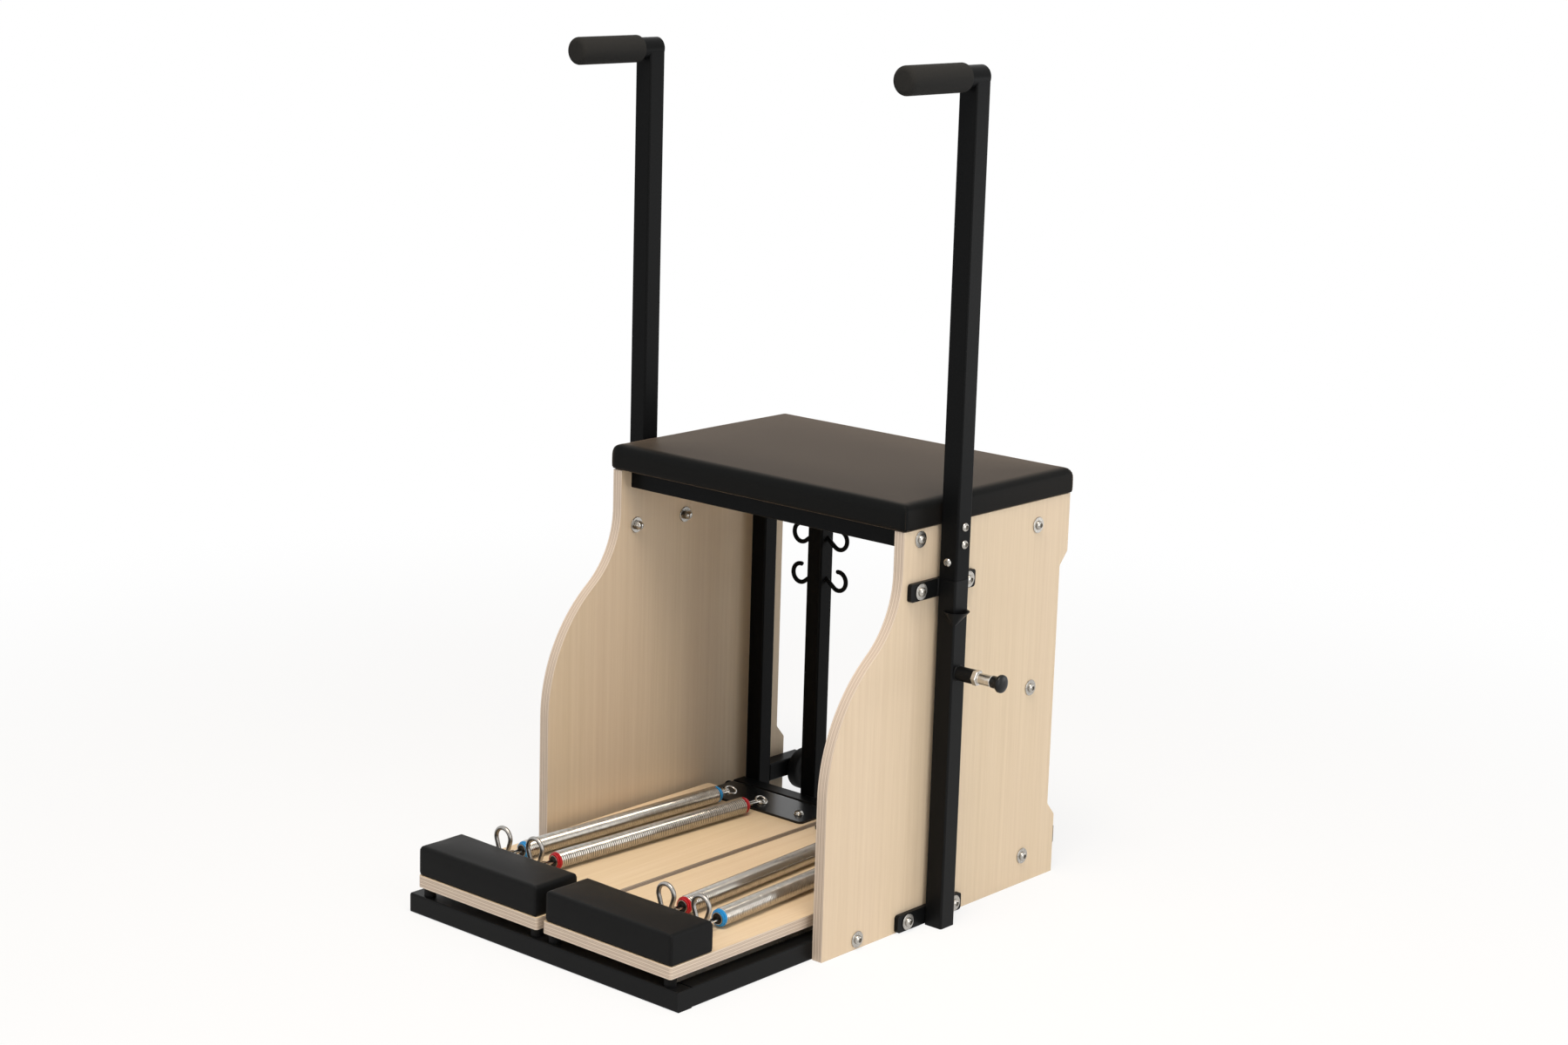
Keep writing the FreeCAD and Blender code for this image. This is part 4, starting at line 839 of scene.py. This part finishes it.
def rounded_block(low, high, corner, edge):
    """Box in millimetres with rounded uprights, a rounded upper rim and an eased lower one."""
    bm = bmesh.new()
    low, high = Vector(low), Vector(high)
    bmesh.ops.create_cube(bm, size=1.0)
    bmesh.ops.scale(bm, vec=(high - low) * MM, verts=bm.verts)
    bmesh.ops.translate(bm, vec=(low + high) / 2 * MM, verts=bm.verts)
    uprights = [e for e in bm.edges if abs(e.verts[0].co.z - e.verts[1].co.z) > LEVEL]
    bmesh.ops.bevel(bm, geom=uprights, offset=corner * MM, segments=CORNER_STEPS, profile=0.5, affect="EDGES",
                    material=-1)
    for height, size in ((high.z, edge), (low.z, edge * LOWER_RIM)):
        rim = [e for e in bm.edges if all(abs(v.co.z - height * MM) < LEVEL for v in e.verts)]
        bmesh.ops.bevel(bm, geom=rim, offset=size * MM, segments=RIM_STEPS, profile=0.5, affect="EDGES",
                        material=-1)
    return bm


def settled(made):
    """Mesh of an object with its modifiers applied."""
    return bpy.data.meshes.new_from_object(made.evaluated_get(bpy.context.evaluated_depsgraph_get()))


def swelling(made, foot):
    """How far each point moves when a cushion is inflated above its held foot, evened out."""
    held = made.vertex_groups.new(name="held")
    held.add([v.index for v in made.data.vertices if v.co.z < (foot + HELD_BAND) * MM], 1.0, "REPLACE")
    cloth = made.modifiers.new("swell", "CLOTH")
    cloth.settings.use_pressure = True
    cloth.settings.uniform_pressure_force = PRESSURE
    cloth.settings.effector_weights.gravity = 0.0
    cloth.settings.vertex_group_mass = "held"
    cloth.point_cache.frame_end = FRAMES
    for number in range(1, FRAMES + 1):
        scene.frame_set(number)
    swollen = settled(made)
    made.modifiers.remove(cloth)
    bm = bmesh.new()
    bm.from_mesh(made.data)
    for vert, moved in zip(bm.verts, swollen.vertices):
        vert.co = moved.co - vert.co
    for _ in range(EVENINGS):
        bmesh.ops.smooth_vert(bm, verts=bm.verts, factor=EVENING_SHARE, use_axis_x=True, use_axis_y=True,
                              use_axis_z=True)
    moves = [vert.co.copy() for vert in bm.verts]
    bm.free()
    made.vertex_groups.clear()
    scene.frame_set(1)
    return moves


def cushion(name, low, high, corner, edge, voxel, most, body, finish, slot, node):
    """Inflate a rounded block whose foot is held, by no more than a given swelling in millimetres."""
    made = finished(rounded_block(low, high, corner, edge), name, body, finish, slot, node)
    remesh = made.modifiers.new("even_mesh", "REMESH")
    remesh.mode = "VOXEL"
    remesh.voxel_size = voxel * MM
    even = settled(made)
    made.modifiers.remove(remesh)
    made.data = even
    moves = swelling(made, low[2])
    largest = max(move.length for move in moves)
    share = min(1.0, most * MM / largest)
    for vert, move in zip(even.vertices, moves):
        vert.co = vert.co + move * share
    print("%s swelled by %.1f mm, capped at %.1f" % (name, largest / MM, most))
    even.shade_smooth()
    even.materials.clear()
    even.materials.append(finish)
    smooth = made.modifiers.new("smooth", "SUBSURF")
    smooth.levels = smooth.render_levels = 1
    return made


print("cushions swell over", FRAMES, "frames")

# %% [markdown]
# The cover is cut flat and sewn up the four corners, which leaves a fine raised welt there. Its line is found
# by looking at the finished cushion from outside, along the corner's diagonal, at several heights.

# %% Corner welts
WELT, WELT_STEPS, WELT_SIDES, WELT_REACH = 1.5, 10, 8, 30.0


def corner_welts(made, low, high, body, finish, slot):
    """Lay a thin welt up each corner of a finished cushion."""
    bpy.context.view_layer.update()
    skin = BVHTree.FromObject(made, bpy.context.evaluated_depsgraph_get())
    rise = (high[2] - low[2] - WELT) / WELT_STEPS
    heights = [low[2] + WELT / 2 + rise * i for i in range(WELT_STEPS + 1)]
    bm = bmesh.new()
    for x, inward_x in ((low[0], 1), (high[0], -1)):
        for y, inward_y in ((low[1], 1), (high[1], -1)):
            inward = Vector((inward_x, inward_y, 0)).normalized()
            starts = [(Vector((x, y, z)) - inward * WELT_REACH) * MM for z in heights]
            line = [point for point in (skin.ray_cast(start, inward)[0] for start in starts) if point]
            ring = bmesh.ops.create_circle(bm, radius=WELT / 2 * MM, segments=WELT_SIDES,
                                           cap_ends=True)["verts"]
            bmesh.ops.translate(bm, vec=line[0], verts=ring)
            rim = ring + list(dict.fromkeys(e for v in ring for e in v.link_edges if e.is_boundary))
            for at, beyond in zip(line, line[1:]):
                rim = bmesh.ops.spin(bm, geom=rim, cent=at, axis=(0, 0, 1), dvec=beyond - at, angle=0.0,
                                     steps=1)["geom_last"]
            bmesh.ops.holes_fill(bm, edges=[edge for edge in rim if isinstance(edge, bmesh.types.BMEdge)])
    finished(bm, made.name.replace("_dressed", "_welts"), body, finish, slot)


print("welts", WELT, "mm thick")

# %% Seat and foot pads
SEAT_LOW, SEAT_HIGH = (-296.0, -9.5, 613.0), (296.0, 402.5, 653.5)
PAD_LOW, PAD_HIGH = (10.0, -439.5, 61.5), (258.0, -355.5, 107.5)
seat = cushion("seat_pad_dressed", SEAT_LOW, SEAT_HIGH, corner=1.0, edge=12.0, voxel=5.0, most=2.5,
               body="frame", finish=seat_vinyl, slot="seat_vinyl", node="seat_pad")
corner_welts(seat, SEAT_LOW, SEAT_HIGH, "frame", seat_vinyl, "seat_vinyl")
for word, side in SIDES.items():
    xs = sorted((side * PAD_LOW[0], side * PAD_HIGH[0]))
    low, high = (xs[0],) + PAD_LOW[1:], (xs[1],) + PAD_HIGH[1:]
    pad = cushion("foot_pad_%s_dressed" % word, low, high, corner=0.8, edge=3.5, voxel=3.0, most=2.0,
                  body="pedal_" + word, finish=pad_vinyl, slot="pad_vinyl", node="foot_pad_" + word)
    corner_welts(pad, low, high, "pedal_" + word, pad_vinyl, "pad_vinyl")
